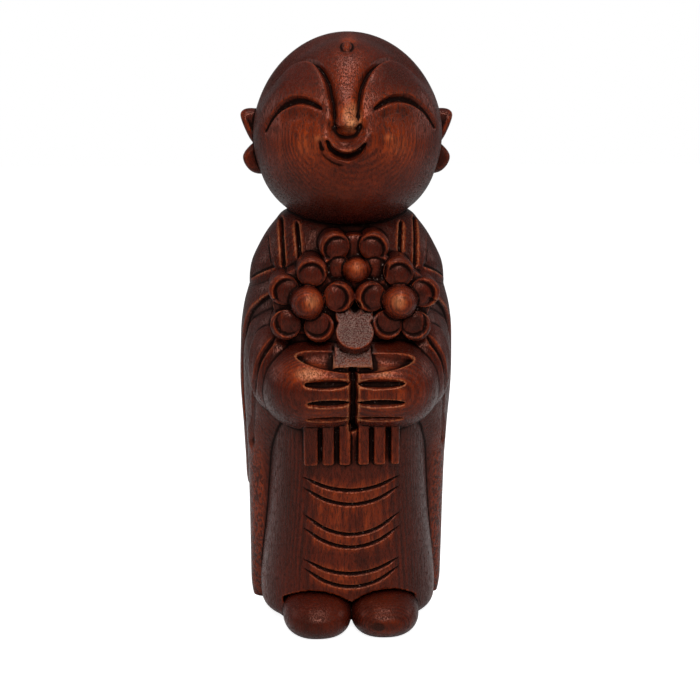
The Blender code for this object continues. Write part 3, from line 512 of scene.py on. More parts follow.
def face_height(right, up):
    """How far the carving of the face stands above the ball of the head, in U."""
    height = np.zeros(right.shape)
    for line, inner in ((BROW_LEFT, -1), (BROW_RIGHT, 1)):
        gap, along, side = measure(right, up, smooth_line(line, 60))
        into = -gap * side * inner
        strength = ease(along / 0.3) * ease((1 - along) / 0.12)
        deep = 3.1 + 1.3 * ease((along - 0.3) / 0.2)
        fade = 28 - 14 * ease((along - 0.55) / 0.3)
        step = ease(into / 3.2 + 0.5)
        height -= deep * strength * step * np.exp(-np.clip(into, 0, None) / fade)
        height -= 2.0 * strength * np.exp(-((into - 2.6) / 3.2) ** 2)
    rows = np.array(NOSE_WIDTHS, float)
    half = np.interp(up, rows[:, 0], rows[:, 1])
    off = abs(right + 0.5)
    ridge = np.clip(1 - (off / half) ** 6, 0, 1)
    under = NOSE_TIP + 4.5 * (off / 13.0) ** 3
    climb = ease((NOSE_ROOT - up) / (NOSE_ROOT - NOSE_TIP)) * ease((up - under) / 5 + 0.5)
    height += NOSE_RISE * climb * ridge
    gap, along, _ = measure(right, up, smooth_line(UNDER_NOSE, 50))
    height -= 2.6 * ease(np.minimum(along, 1 - along) / 0.2) * np.exp(-(gap / 4.2) ** 2)
    for lid, ridge_line, pouch in ((LID_LEFT, RIDGE_LEFT, POUCH_LEFT), (LID_RIGHT, RIDGE_RIGHT, POUCH_RIGHT)):
        gap, along, _ = measure(right, up, smooth_line(lid, 50))
        swell = np.sqrt(np.clip(4 * along * (1 - along), 0, 1)) * (1 - 0.55 * ease((along - 0.4) / 0.35))
        height -= 3.0 * np.clip(1 - (gap / (4.4 * swell + 0.6)) ** 2, 0, 1) ** 0.8 * (0.35 + 0.65 * swell)
        height += 0.9 * np.exp(-(gap / 16) ** 2) * ease(along / 0.2) * ease((1 - along) / 0.3)
        ridge_gap, ridge_along, _ = measure(right, up, smooth_line(ridge_line))
        ends = ease(np.minimum(ridge_along, 1 - ridge_along) / 0.25)
        height += 1.1 * ends * np.exp(-(ridge_gap / 5.0) ** 2)
        height -= cut(right, up, pouch, 12.0, 0.5)
    for side in (-1, 1):
        height += 1.5 * np.exp(-((right - side * 45) / 32) ** 2 - ((up + 12) / 26) ** 2)
    gap, along, _ = measure(right, up, smooth_line(LIP_RIDGE))
    height += 2.0 * ease(np.minimum(along, 1 - along) / 0.3) * np.exp(-(gap / 3.6) ** 2)
    gap, along, _ = measure(right, up, smooth_line(MOUTH))
    swell = np.sqrt(np.clip(4 * along * (1 - along), 0, 1))
    height -= 3.0 * np.clip(1 - (gap / (4.6 * swell + 0.5)) ** 2, 0, 1) ** 0.7
    height += 0.6 * np.exp(-((gap - 7.5) / 3.0) ** 2) * (up < -18) * swell
    height -= cut(right, up, CHIN_FOLD, 8.0, 0.9, 0.3)
    dot = ((right - URNA[0]) / URNA_RADII[0]) ** 2 + ((up - URNA[1]) / URNA_RADII[1]) ** 2
    height += 1.9 * np.sqrt(np.clip(1 - dot, 0, 1)) - 0.25 * np.exp(-(np.sqrt(dot) - 1.4) ** 2 / 0.1)
    return height


def carved_head(turn, rise):
    """The ball of the head with full cheeks and its face."""
    way = globe(turn, rise)
    level = way[:, 2]
    full = 0.98 - CHEEK_FULLNESS * level + JOWL_FULLNESS * np.clip(-0.4 - level, 0, None)
    shape = way * np.array([HEAD_RADIUS, HEAD_DEPTH, HEAD_RADIUS])
    shape[:, 0] *= full
    shape[:, 1] *= 0.5 + 0.5 * full
    turn_cos, turn_sin = math.cos(HEAD_TURN), math.sin(HEAD_TURN)
    right = shape[:, 0] * turn_cos - shape[:, 1] * turn_sin
    toward = -shape[:, 0] * turn_sin - shape[:, 1] * turn_cos
    near = 1 - toward / VIEW_DISTANCE
    seen_right = right / near / HEAD_RADIUS * 100
    seen_up = shape[:, 2] / near / HEAD_RADIUS * 100
    facing = np.flatnonzero(toward > 0)
    relief = np.zeros(len(turn))
    relief[facing] = face_height(seen_right[facing], seen_up[facing]) * ease(toward[facing] / 12.0)
    return (np.array(HEAD_CENTRE) + shape + way * relief[:, None]) * U


def hem_over_feet(across, depth, up):
    """Sets the front of the robe back below the two arches of its hem, over the feet."""
    arch = np.max([top - drop * ((across - middle) / HEM_HALF_WIDTH) ** 2
                   for middle, top, drop in HEM_ARCHES], axis=0)
    arch = np.where((across > HEM_REACH[0]) & (across < HEM_REACH[1]), arch, 0.0)
    return depth + np.where(depth < -15, HEM_STEP * ease((arch - up) / 1.5 + 0.5), 0.0)


def petal_front(heart, across):
    """How far forward a petal stands: it leans back away from the middle of the figure."""
    return heart[1] + 2.2 + 0.12 * max(0.0, abs(heart[0] + across) - 24.0)


def build_blocks():
    """The rough blocks, each closed, all overlapping their neighbours."""
    bm = bmesh.new()
    for side in (-1, 1):
        mitten(bm, FOOT_CENTRE, FOOT_RADII, side, FOOT_RADII[0], FOOT_POWERS)
        mitten(bm, HAND_CENTRE, HAND_RADII, side, HAND_INNER_REACH, HAND_POWERS)
        leaf(bm, EAR_UPPER, side, EAR_DEPTH, EAR_UPPER_THICKNESS, EAR_ROUNDING)
        leaf(bm, EAR_LOWER, side, EAR_DEPTH, EAR_LOWER_THICKNESS, EAR_ROUNDING)
        ball(bm, (side * SLEEVE_CENTRE[0], SLEEVE_CENTRE[1], SLEEVE_CENTRE[2]), SLEEVE_RADII)
    ball(bm, BOUQUET_CENTRE, BOUQUET_RADII)
    for heart, radius, petals in FLOWERS:
        stub(bm, heart, radius, radius, FLOWER_BACK)
        reach = max(math.hypot(across, up) for across, up in petals)
        stub(bm, (heart[0], heart[1] + BACKING_SINK, heart[2]), reach + 1.0, 2.0, FLOWER_BACK)
        for across, up in petals:
            stub(bm, (heart[0] + across, petal_front(heart, across), heart[2] + up), PETAL_RADIUS, PETAL_DOME,
                 FLOWER_BACK)
    stub(bm, FILLER_CENTRE, FILLER_RADIUS, FILLER_DOME, FLOWER_BACK)
    bar(bm, *CLASP, BAR_SOFTENING, CLASP_SLOPE)
    tongue = [vert for height in (0.0, TONGUE_LENGTH) for vert in
              bmesh.ops.create_cone(bm, cap_ends=True, segments=48, radius1=TONGUE_RADIUS * U,
                                    radius2=TONGUE_RADIUS * U, depth=TONGUE_THICKNESS * U,
                                    matrix=Matrix.Translation((0, height * U, 0)))["verts"]]
    bmesh.ops.rotate(bm, cent=(0, 0, 0), matrix=Matrix.Rotation(TONGUE_TILT, 3, "X"), verts=tongue)
    bmesh.ops.translate(bm, vec=[place * U for place in TONGUE_PLACE], verts=tongue)
    for left, right in STEM_BARS:
        low, high = zip((left, right), STEM_DEPTHS, STEM_HEIGHTS)
        bar(bm, low, high, BAR_SOFTENING)
    oval_block(bm, ROBE, ROBE_POWERS, hem_over_feet)
    oval_block(bm, CLOAK, CLOAK_POWERS)
    oval_block(bm, CAPE, CAPE_POWERS)
    oval_block(bm, SHOULDERS, SHOULDER_POWERS)
    rolled_grid(bm, HEAD_SIDES, HEAD_SIDES * 5 // 8, carved_head)
    bmesh.ops.recalc_face_normals(bm, faces=bm.faces)
    mesh = bpy.data.meshes.new("blocks")
    bm.to_mesh(mesh)
    bm.free()
    return mesh


def settle(name, mesh, modifiers):
    """The mesh with modifiers applied: kind and settings for each."""
    holder = bpy.data.objects.new(name, mesh)
    bpy.context.scene.collection.objects.link(holder)
    for kind, settings in modifiers:
        modifier = holder.modifiers.new(kind.lower(), kind)
        for key, value in settings.items():
            setattr(modifier, key, value)
    graph = bpy.context.evaluated_depsgraph_get()
    done = bpy.data.meshes.new_from_object(holder.evaluated_get(graph))
    bpy.data.objects.remove(holder)
    return done


def read_points(mesh):
    """Places and normals of a mesh's points."""
    places = np.empty(len(mesh.vertices) * 3, np.float32)
    normals = np.empty(len(mesh.vertices) * 3, np.float32)
    mesh.vertices.foreach_get("co", places)
    mesh.vertex_normals.foreach_get("vector", normals)
    return places.reshape(-1, 3).astype(float), normals.reshape(-1, 3).astype(float)


def carve_lines(places, normals):
    """Cuts every line of the dress and hands into the fused body."""
    across, depth, up = (places / U).T
    front = ease((-normals[:, 1] - 0.05) / 0.35)
    gone = np.zeros(across.shape)

    def take(amount, where=True):
        np.maximum(gone, np.where(where, amount, 0.0), out=gone)

    low_front = (depth < -25) & (up < 92)
    for top, ends in ROBE_ARCS:
        arc = [(x, top + ends * (x / ROBE_ARC_PLACES[-1]) ** 2) for x in ROBE_ARC_PLACES]
        take(cut(across, up, arc, 2.2, 1.5, 0.2), low_front)
    hands = (depth < -30) & (up > 103) & (up < 153)
    for z, height, left, right in FINGER_CUTS:
        take(leaf_cut(across, up, (-left, z), (-1.5, z), height, 2.6), hands)
        take(leaf_cut(across, up, (2.0, z - 0.2), (right, z), height, 2.6), hands)
    beside_clasp = (abs(across) > CLASP_HALF) | (up < 142)
    take(leaf_cut(across, up, *THUMB_CUT, 8.5, 3.4, 2.4), hands & beside_clasp)
    for side in (-1, 1):
        x = across * side
        take(cut(x, up, SLEEVE_RIM, 3.6, 2.2, 0.1), (x > 30) & (up > 85) & (depth > -36))
        take(layer_edge(x, up, CAPE_TOP, 2.0, 6.0, 0.8), (x > 30) & (depth < 12))
        take(layer_edge(x, up, CAPE_FALL, 2.2, 7.0, 0.8), (x > 34) & (depth < 12))
        chest = (depth < 2) & (depth > -28) & (up > 180)
        take(cut(x, up, OUTER_BAND, 2.6, 2.6, 0.1), chest)
        take(cut(x, up, INNER_BAND, 2.6, 2.8, 0.1), chest)
        mirrored = [(-place, level) for place, level in SHOULDER_BAND]
        take(layer_edge(-x, up, mirrored, 1.6, 7.0), chest & (x > 34))
    places = places - normals * (gone * front * U)[:, None]
    behind = ease((normals[:, 1] - 0.1) / 0.4)
    gone[:] = 0
    for low, high in SWAGS:
        swag = [(x * (28 + high * 0.3) / 30, low + high * (x / 30.0) ** 2) for x in (-30, -16, 0, 16, 30)]
        take(cut(across, up, swag, 6.0, 1.7, 0.25))
    for side in (-1, 1):
        for top, foot in PLEATS:
            fall = ((top * side, 132.0 + top * 0.7), ((top + foot) / 2 * side, 108.0), (foot * side, 72.0))
            take(cut(across, up, fall, 6.0, 1.6, 0.3), up > 70)
            skirt = ((foot * 0.9 * side, 60.0), (foot * 0.95 * side, 30.0), (foot * side, -4.0))
            take(cut(across, up, skirt, 6.5, 1.6, 0.25), up < 63)
    return places - normals * (gone * behind * U)[:, None]


def dish_petals(places, normals):
    """Scoops each petal with one gouge cut, deepest at the rim away from its flower's heart, then drills the
    pit between the flowers and parts the hands."""
    across, depth, up = (places / U).T
    gone = np.zeros(across.shape)
    for heart, _, petals in FLOWERS:
        for side, rise in petals:
            outward = np.array((side, rise)) / math.hypot(side, rise)
            off_x = across - heart[0] - side
            off_z = up - heart[2] - rise
            gap = np.hypot(off_x + outward[0] * 2.2, off_z + outward[1] * 2.2)
            far = (off_x * outward[0] + off_z * outward[1]) / PETAL_RADIUS
            dish = (1.6 + 1.2 * np.clip(far, -1, 1)) * ease((PETAL_RADIUS + 0.2 - gap) / 2.0)
            face = petal_front(heart, side) + 3.0
            gone = np.maximum(gone, np.where(depth < face, dish, 0))
    for heart, radius, _ in FLOWERS:
        gone[np.hypot(across - heart[0], up - heart[2]) < radius + 0.6] = 0
    pit = np.hypot(across - PIT_CENTRE[0], (up - PIT_CENTRE[1]) * 0.8)
    gone = np.maximum(gone, np.where(up < 176, PIT_DEPTH * ease((3.4 - pit) / 2.5), 0))
    between = (depth < -30) & (up > 104) & (up < 142)
    gone = np.maximum(gone, np.where(between, cut(across, up, PARTING, 4.6, 4.5, 0), 0))
    front = ease((-normals[:, 1] - 0.2) / 0.4)
    places[:, 1] += gone * front * U
    return places


def hollows(mesh, places, normals):
    """How deep each point lies below its surroundings, near and wide, in U: what the dark wax fills and where
    the painted shade lies.
    """
    pairs = np.empty(len(mesh.edges) * 2, np.int32)
    mesh.edges.foreach_get("vertices", pairs)
    starts, ends = pairs[0::2], pairs[1::2]
    count = len(places)
    friends = np.bincount(starts, minlength=count) + np.bincount(ends, minlength=count)
    spread = places.copy()
    depths = []
    for passes in HOLLOW_PASSES:
        for _ in range(passes):
            for axis in range(3):
                column = spread[:, axis]
                total = (np.bincount(starts, weights=column[ends], minlength=count)
                         + np.bincount(ends, weights=column[starts], minlength=count))
                spread[:, axis] = 0.4 * column + 0.6 * total / friends
        depths.append(((spread - places) * normals).sum(axis=1) / U)
    return depths


def sawn_flat(mesh):
    """The base sawn flat at z = 0 and closed."""
    bm = bmesh.new()
    bm.from_mesh(mesh)
    geometry = bm.verts[:] + bm.edges[:] + bm.faces[:]
    cut_made = bmesh.ops.bisect_plane(bm, geom=geometry, dist=0.0001 * U, plane_co=(0, 0, 0),
                                      plane_no=(0, 0, 1), clear_inner=True)["geom_cut"]
    for vert in [item for item in cut_made if isinstance(item, bmesh.types.BMVert)]:
        vert.co.z = 0.0
    wires = [edge for edge in bm.edges if edge.is_wire]
    bmesh.ops.delete(bm, geom=wires, context="EDGES")
    bmesh.ops.edgeloop_fill(bm, edges=[edge for edge in bm.edges if edge.is_boundary])
    bmesh.ops.recalc_face_normals(bm, faces=bm.faces)
    bmesh.ops.triangulate(bm, faces=bm.faces[:])
    if any(not edge.is_manifold for edge in bm.edges):
        raise RuntimeError("the sawn base is not closed")
    done = bpy.data.meshes.new(PIECE_NAME)
    bm.to_mesh(done)
    bm.free()
    return done


def rubbed_and_lit_share(places, normals):
    """How far the stain is rubbed thin at each point, with the painted highlights, on faces that look
    forward.
    """
    across, _, up = (places / U).T
    share = np.zeros(len(places))
    for x, z, half_width, half_height, strength in RUBBED_AND_LIT:
        gap = ((across - x) / half_width) ** 2 + ((up - z) / half_height) ** 2
        share = np.maximum(share, strength * np.exp(-gap))
    return share * ease(-normals[:, 1] / 0.4)


def rough_and_sheen_share(places, normals):
    """How far the end grain shows rough at each point, its pale grit partly a painted sheen: on the two faces
    that lean back.
    """
    across, _, up = (places / U).T
    share = np.zeros(len(places))
    for x, z, half_width, half_height in END_GRAIN_AND_SHEEN:
        gap = ((across - x) / half_width) ** 4 + ((up - z) / half_height) ** 4
        share = np.maximum(share, ease(1.6 - gap))
    return share * ease((normals[:, 2] - 0.1) / 0.3)


def tooled_share(places, normals):
    """How far gouge marks were left at each point: on the sides of the cloak that face forward."""
    across, depth, up = (places / U).T
    share = ease((abs(across) - 43.0) / 2.5) * ease((105.0 - up) / 25.0) * ease((depth + 28.0) / 8.0)
    return share * ease((-0.05 - normals[:, 1]) / 0.4)


def keep_values(mesh, **layers):
    """Stores values of the mesh's points under their names, for the wood to read."""
    for name, values in layers.items():
        layer = mesh.attributes.new(name, "FLOAT", "POINT")
        layer.data.foreach_set("value", values.astype(np.float32))


def build_figure(sizes):
    """Blocks fused, carved, thinned to their facets, sawn flat and set on the middle of the base."""
    rough = settle("rough", build_blocks(), [
        ("REMESH", {"mode": "VOXEL", "voxel_size": sizes.grain}),
        ("SMOOTH", {"factor": 0.5, "iterations": sizes.blend_passes}),
    ])
    places, normals = read_points(rough)
    places = carve_lines(places, normals)
    places = dish_petals(places, normals)
    rough.vertices.foreach_set("co", places.astype(np.float32).ravel())
    rough.update()
    places, normals = read_points(rough)
    near, wide = hollows(rough, places, normals)
    # These values also carry painted light: highlights on the rubbed patches, a sheen on the end grain, shade
    # in the hollows
    keep_values(rough, groove=near, hollow=wide, rubbed=rubbed_and_lit_share(places, normals),
                end_grain=rough_and_sheen_share(places, normals), tooled=tooled_share(places, normals))
    triangles = sum(len(face.vertices) - 2 for face in rough.polygons)
    carved = settle("carved", rough, [
        ("SMOOTH", {"factor": 0.5, "iterations": sizes.polish_passes}),
        ("DECIMATE", {"ratio": sizes.facets / triangles}),
    ])
    figure = sawn_flat(carved)
    places, _ = read_points(figure)
    middle = (places.min(axis=0) + places.max(axis=0)) / 2
    places -= (middle[0], middle[1], 0.0)
    figure.vertices.foreach_set("co", places.astype(np.float32).ravel())
    figure.update()
    figure.shade_smooth()
    return figure


def linear(code):
    """An sRGB hex colour as linear red, green, blue and alpha."""
    parts = [int(code[i:i + 2], 16) / 255.0 for i in (1, 3, 5)]
    return [part / 12.92 if part <= 0.04045 else ((part + 0.055) / 1.055) ** 2.4 for part in parts] + [1.0]


def colour(title, description, code):
    """A colour that a user can change."""
    return bpy.props.FloatVectorProperty(name=title, description=description, subtype="COLOR", size=4,
                                         min=0.0, max=1.0, default=linear(code))


class FigureSizes(bpy.types.PropertyGroup):
    """How finely the figure is carved."""
    grain: bpy.props.FloatProperty(
        name="Grain", description="Distance between the points that the carving moves",
        default=0.45 * U, min=0.0002, unit="LENGTH", precision=5)
    facets: bpy.props.IntProperty(
        name="Facets", description="Triangles kept on the finished figure", default=188000, min=20000)
    blend_passes: bpy.props.IntProperty(
        name="Blend", description="How often the fused blocks are smoothed", default=5, min=0)
    polish_passes: bpy.props.IntProperty(
        name="Polish", description="How often the carved figure is sanded", default=2, min=0)


class WoodFinish(bpy.types.PropertyGroup):
    """The stained and waxed hardwood."""
    stain: colour("Stain", "Red-brown of the stained wood", "#4a140a")
    shade: colour("Shade", "Dark brown between the lighter growth layers", "#1c0705")
    # Rubbed and bare also colour the painted highlights on the cheeks, nose, lips, hands and hearts
    rubbed: colour("Rubbed", "Orange-brown where hands and cloth have rubbed the stain thin", "#8e3411")
    bare: colour("Bare", "Light brown where the stain is rubbed off", "#c07d52")
    # Wax also colours the painted shade in the cuts and hollows
    wax: colour("Wax", "Nearly black wax that stays in the cuts", "#0c0403")
    ring: bpy.props.FloatProperty(
        name="Growth layers", description="Distance between growth layers", default=0.0014, unit="LENGTH")
    pore: bpy.props.FloatProperty(
        name="Pore width", description="Width of a pore, drawn as coarse as it needs to show",
        default=0.0005, unit="LENGTH", precision=5)
    pore_length: bpy.props.FloatProperty(
        name="Pore length", description="Length of a pore along the grain", default=0.003, unit="LENGTH")
    sheen: colour("Sheen", "Warm tint of the reflections in the stained wax", "#ffb09a")
    # Fleck also colours the pale grit of the end grain, partly a painted sheen
    fleck: colour("Fleck", "Pale dry wax left in the deepest cuts", "#9c8076")
    gloss: bpy.props.FloatProperty(
        name="Roughness", description="Roughness of the waxed surface", default=0.27, min=0.0, max=1.0)


class StageLook(bpy.types.PropertyGroup):
    """The floor, the light and the view."""
    floor: colour("Floor", "Colour of the plain floor", "#d8d8d8")
    floor_glow: bpy.props.FloatProperty(
        name="Floor glow", description="Brightness that keeps the floor pale in the picture",
        default=0.88, min=0.0)
    key_power: bpy.props.FloatProperty(
        name="Key light", description="Power of the large light in front and above",
        default=11.0, unit="POWER")
    sky: bpy.props.FloatProperty(
        name="Surroundings", description="Strength of the even white light all round", default=0.2)


# Settings of the nodes that the wood uses most, and the sockets of a mix of two colours
SMOOTH = {"interpolation_type": "SMOOTHSTEP"}
MULTIPLY = {"operation": "MULTIPLY"}
LARGER = {"operation": "MAXIMUM"}
COLOURS = {"data_type": "RGBA"}
MIX_SHARE, MIX_UNDER, MIX_OVER, MIX_RESULT = 0, 6, 7, 2

# Distance between the bands of a wave texture at a scale of one
BAND_SPACING = 0.314


def node(tree, kind, settings=None, feeds=None):
    """Adds a node with its settings; a plain value or an output of another node feeds each socket named."""
    made = tree.nodes.new(kind)
    for name, value in (settings or {}).items():
        setattr(made, name, value)
    for socket, feed in (feeds or {}).items():
        if isinstance(feed, bpy.types.NodeSocket):
            tree.links.new(feed, made.inputs[socket])
        else:
            made.inputs[socket].default_value = feed
    return made


def between(value, limits, strength=(0.0, 1.0)):
    """Feeds of a map on which a value grows between two limits from the first strength to the second."""
    return {"Value": value, "From Min": limits[0], "From Max": limits[1], "To Min": strength[0],
            "To Max": strength[1]}


def pattern(tree, place, across, along, limits, detail=2.0, shift=0.0, strength=(0.0, 1.0)):
    """A cloudy pattern in the wood, by its size across and along the grain in metres, the limits of its noise
    between which it grows, its detail, and a shift that takes it from another place."""
    stretched = node(tree, "ShaderNodeMapping", {"vector_type": "POINT"},
                     {"Vector": place, "Location": (shift, shift, shift),
                      "Scale": (1 / across, 1 / across, 1 / along)})
    noise = node(tree, "ShaderNodeTexNoise", {"noise_dimensions": "3D"},
                 {"Vector": stretched.outputs["Vector"], "Scale": 1.0, "Detail": detail, "Roughness": 0.55})
    feeds = between(noise.outputs["Fac"], limits, strength)
    return node(tree, "ShaderNodeMapRange", SMOOTH, feeds).outputs["Result"]


def kept_value(tree, name, limits, strength=(0.0, 1.0)):
    """A value that the carving kept on the figure, and the limits between which it grows."""
    value = node(tree, "ShaderNodeAttribute", {"attribute_name": name}).outputs["Fac"]
    return node(tree, "ShaderNodeMapRange", SMOOTH, between(value, limits, strength)).outputs["Result"]


def spot(tree, place, centre, radii):
    """A soft-edged spot in the wood, from its centre and its three radii in U."""
    near = node(tree, "ShaderNodeMapping", {"vector_type": "TEXTURE"},
                {"Vector": place, "Location": [part * U for part in centre],
                 "Scale": [part * U for part in radii]})
    gap = node(tree, "ShaderNodeVectorMath", {"operation": "LENGTH"}, {"Vector": near.outputs["Vector"]})
    feeds = between(gap.outputs["Value"], (1.1, 0.7), (0.0, 0.85))
    return node(tree, "ShaderNodeMapRange", SMOOTH, feeds).outputs["Result"]


def stained_hardwood(finish):
    """Tropical hardwood, stained red-brown, waxed and rubbed: dark pores and growth layers show in a satin
    sheen, the cuts keep nearly black wax that also paints their shade, and what stands proud is rubbed
    orange and carries painted highlights."""
    material = bpy.data.materials.new("waxed_stained_hardwood")
    material.use_nodes = True
    tree = material.node_tree
    tree.nodes.clear()
    place = node(tree, "ShaderNodeTexCoord").outputs["Object"]
    height = node(tree, "ShaderNodeSeparateXYZ", {}, {"Vector": place}).outputs["Z"]
    # The rubbed value also carries painted highlights, and the end grain value a painted sheen
    rubbed, end_grain, tooled = (node(tree, "ShaderNodeAttribute", {"attribute_name": name}).outputs["Fac"]
                                 for name in ("rubbed", "end_grain", "tooled"))

    # Growth layers lie flat behind the face of the block, so round forms cut them into ovals. They come and
    # go over the figure, and are faint above the eyes.
    warped = node(tree, "ShaderNodeMapping", {"vector_type": "POINT"},
                  {"Vector": place, "Scale": (0.35, 1.0, 0.10)})
    layers = node(tree, "ShaderNodeTexWave", {"wave_type": "BANDS", "bands_direction": "Y"},
                  {"Vector": warped.outputs["Vector"], "Scale": BAND_SPACING / finish.ring, "Distortion": 9.0,
                   "Detail": 2.0, "Detail Scale": 0.35, "Detail Roughness": 0.6}).outputs["Fac"]
    levels = (MOUTH_LEVEL * U, EYE_LEVEL * U)
    below_eyes = node(tree, "ShaderNodeMapRange", SMOOTH, between(height, levels, (1.0, 0.2))).outputs[0]
    for share in (pattern(tree, place, 0.02, 0.08, (0.35, 0.65), strength=(0.25, 1.0)), below_eyes):
        layers = node(tree, "ShaderNodeMath", MULTIPLY, {0: layers, 1: share}).outputs[0]
    dark_layers = node(tree, "ShaderNodeMapRange", SMOOTH, {"Value": layers}).outputs["Result"]

    # Pores are short dashes along the grain, and dots where the grain meets the surface end on. They are
    # drawn as coarse as they need to show.
    pores = pattern(tree, place, finish.pore, finish.pore_length, (0.51, 0.62), 1.0)
    pore_strength = node(tree, "ShaderNodeMapRange", SMOOTH, between(height, levels, (0.6, 0.85))).outputs[0]
    streaks = pattern(tree, place, 0.0016, 0.07, (0.38, 0.66), 3.0, 5.0)
    clouds = pattern(tree, place, 0.018, 0.06, (0.35, 0.68), 2.0, 9.0)

    # Rubbed thin on the cheeks, hands and flower hearts and along every edge that stands proud, and to the
    # bare wood where hands touched most: partly real wear, partly painted highlights where the light falls
    patchy = pattern(tree, place, 0.006, 0.02, (0.25, 0.6), 3.0, 2.0, (0.45, 1.0))
    touched_and_lit = node(tree, "ShaderNodeMath", MULTIPLY, {0: rubbed, 1: patchy}).outputs[0]
    edges = kept_value(tree, "groove", (-0.04, -0.28), (0.0, 0.75))
    worn_and_lit = node(tree, "ShaderNodeMath", LARGER, {0: touched_and_lit, 1: edges}).outputs[0]
    most_touched_and_lit = kept_value(tree, "rubbed", (0.75, 1.9))
    sharp_edges_worn_and_lit = kept_value(tree, "groove", (-0.2, -0.55), (0.0, 0.5))
    bared_and_lit = node(tree, "ShaderNodeMath", LARGER, {0: most_touched_and_lit, 1: sharp_edges_worn_and_lit}).outputs[0]
    layers_left = node(tree, "ShaderNodeMath", MULTIPLY, {0: layers, 1: 0.85}).outputs[0]
    thin = node(tree, "ShaderNodeMix", COLOURS, {MIX_SHARE: layers_left, MIX_UNDER: finish.rubbed,
                                                 MIX_OVER: finish.stain}).outputs[MIX_RESULT]

    # Grit of the rough end grain, pale partly as a painted sheen, and nicks of the gouge on the sides of the
    # cloak
    speckle = pattern(tree, place, 0.0004, 0.0005, (0.43, 0.6), 2.0, 21.0, (0.0, 0.55))
    grit_and_sheen = node(tree, "ShaderNodeMath", MULTIPLY, {0: end_grain, 1: speckle}).outputs[0]
    nicks = pattern(tree, place, 0.0013, 0.0022, (0.4, 0.6), 2.0, 33.0)
    nicked = node(tree, "ShaderNodeMath", MULTIPLY, {0: tooled, 1: nicks}).outputs[0]

    # Nearly black wax in the cuts and hollows, deepened there as painted shade, with pale flecks where it
    # dried in the deepest of them
    wax_and_shade_in_cuts = kept_value(tree, "groove", (0.0, 0.14))
    wax_and_shade_in_hollows = kept_value(tree, "hollow", (0.02, 0.75), (0.0, 0.94))
    # The wax and the painted shade of the cuts and hollows together
    waxed = node(tree, "ShaderNodeMath", LARGER, {0: wax_and_shade_in_cuts, 1: wax_and_shade_in_hollows}).outputs[0]
    deepest = kept_value(tree, "hollow", (0.3, 1.2))
    flecks = pattern(tree, place, 0.0009, 0.0011, (0.68, 0.74), 1.0, 14.0, (0.0, 0.6))

    # Coats of colour, each over the last: where it lies, how strongly, and its colour
    coats = [
        # Worn and bared coats also paint highlights, grit a sheen, and wax the shade in cuts and hollows
        (dark_layers, 0.9, finish.shade), (clouds, 0.7, finish.shade), (streaks, 0.6, finish.shade),
        (worn_and_lit, 1.0, thin), (bared_and_lit, patchy, finish.bare), (streaks, 0.4, finish.stain),
        (pores, pore_strength, finish.wax), (grit_and_sheen, 1.0, finish.fleck), (tooled, 0.45, finish.rubbed),
        (nicked, 0.85, finish.shade), (spot(tree, place, *KNOT), 1.0, finish.wax),
        (spot(tree, place, *FOOT_STAIN), 1.0, finish.wax), (waxed, 1.0, finish.wax),
        (flecks, deepest, finish.fleck),
    ]
    tone = finish.stain
    for share, strength, coat in coats:
        cover = node(tree, "ShaderNodeMath", MULTIPLY, {0: share, 1: strength}).outputs[0]
        tone = node(tree, "ShaderNodeMix", COLOURS,
                    {MIX_SHARE: cover, MIX_UNDER: tone, MIX_OVER: coat}).outputs[MIX_RESULT]

    # Pores and wax are duller than the rubbed wood, and wax and end grain reflect less
    dull = node(tree, "ShaderNodeMath", LARGER, {0: pores, 1: waxed}).outputs[0]
    rough = node(tree, "ShaderNodeMapRange", SMOOTH,
                 {"Value": dull, "To Min": finish.gloss, "To Max": finish.gloss + 0.3}).outputs["Result"]
    matt = node(tree, "ShaderNodeMath", LARGER, {0: waxed, 1: end_grain}).outputs[0]
    shine = node(tree, "ShaderNodeMapRange", SMOOTH,
                 {"Value": matt, "To Min": 0.4, "To Max": 0.1}).outputs["Result"]

    # What is too fine to carve: sunken pores, streaks and nicks, and raised grit
    relief = 0.0
    for share, lift in ((pores, -1.0), (streaks, -0.4), (grit_and_sheen, 1.0), (nicked, -1.0)):
        relief = node(tree, "ShaderNodeMath", {"operation": "MULTIPLY_ADD"},
                      {0: share, 1: lift, 2: relief}).outputs[0]
    bump = node(tree, "ShaderNodeBump", {}, {"Height": relief, "Strength": 0.5, "Distance": 0.0003})
    shader = node(tree, "ShaderNodeBsdfPrincipled", {},
                  {"Base Color": tone, "Roughness": rough, "Specular IOR Level": shine, "IOR": 1.45,
                   "Specular Tint": finish.sheen, "Normal": bump.outputs["Normal"]})
    node(tree, "ShaderNodeOutputMaterial", {}, {"Surface": shader.outputs["BSDF"]})
    return material


def plain_paint(name, shade, glow):
    """Matt paint without a pattern, for the floor, which keeps some brightness of its own in the picture."""
    material = bpy.data.materials.new(name)
    material.use_nodes = True
    tree = material.node_tree
    shader = tree.nodes["Principled BSDF"]
    shader.inputs["Base Color"].default_value = shade
    shader.inputs["Roughness"].default_value = 0.9
    shader.inputs["Specular IOR Level"].default_value = 0.1
    shader.inputs["Emission Color"].default_value = linear("#ffffff")
    seen = node(tree, "ShaderNodeLightPath").outputs["Is Camera Ray"]
    seen_glow = node(tree, "ShaderNodeMath", MULTIPLY, {0: seen, 1: glow}).outputs[0]
    tree.links.new(seen_glow, shader.inputs["Emission Strength"])
    return material


def aim(thing, target):
    """Turns a light to shine at a place."""
    thing.rotation_euler = (Vector(target) - thing.location).to_track_quat("-Z", "Y").to_euler()


def soft_light(name, place, target, size, power):
    """A large soft square light."""
    data = bpy.data.lights.new(name, "AREA")
    data.shape = "SQUARE"
    data.size = size
    data.energy = power
    light = bpy.data.objects.new(name, data)
    bpy.context.scene.collection.objects.link(light)
    light.location = place
    aim(light, target)


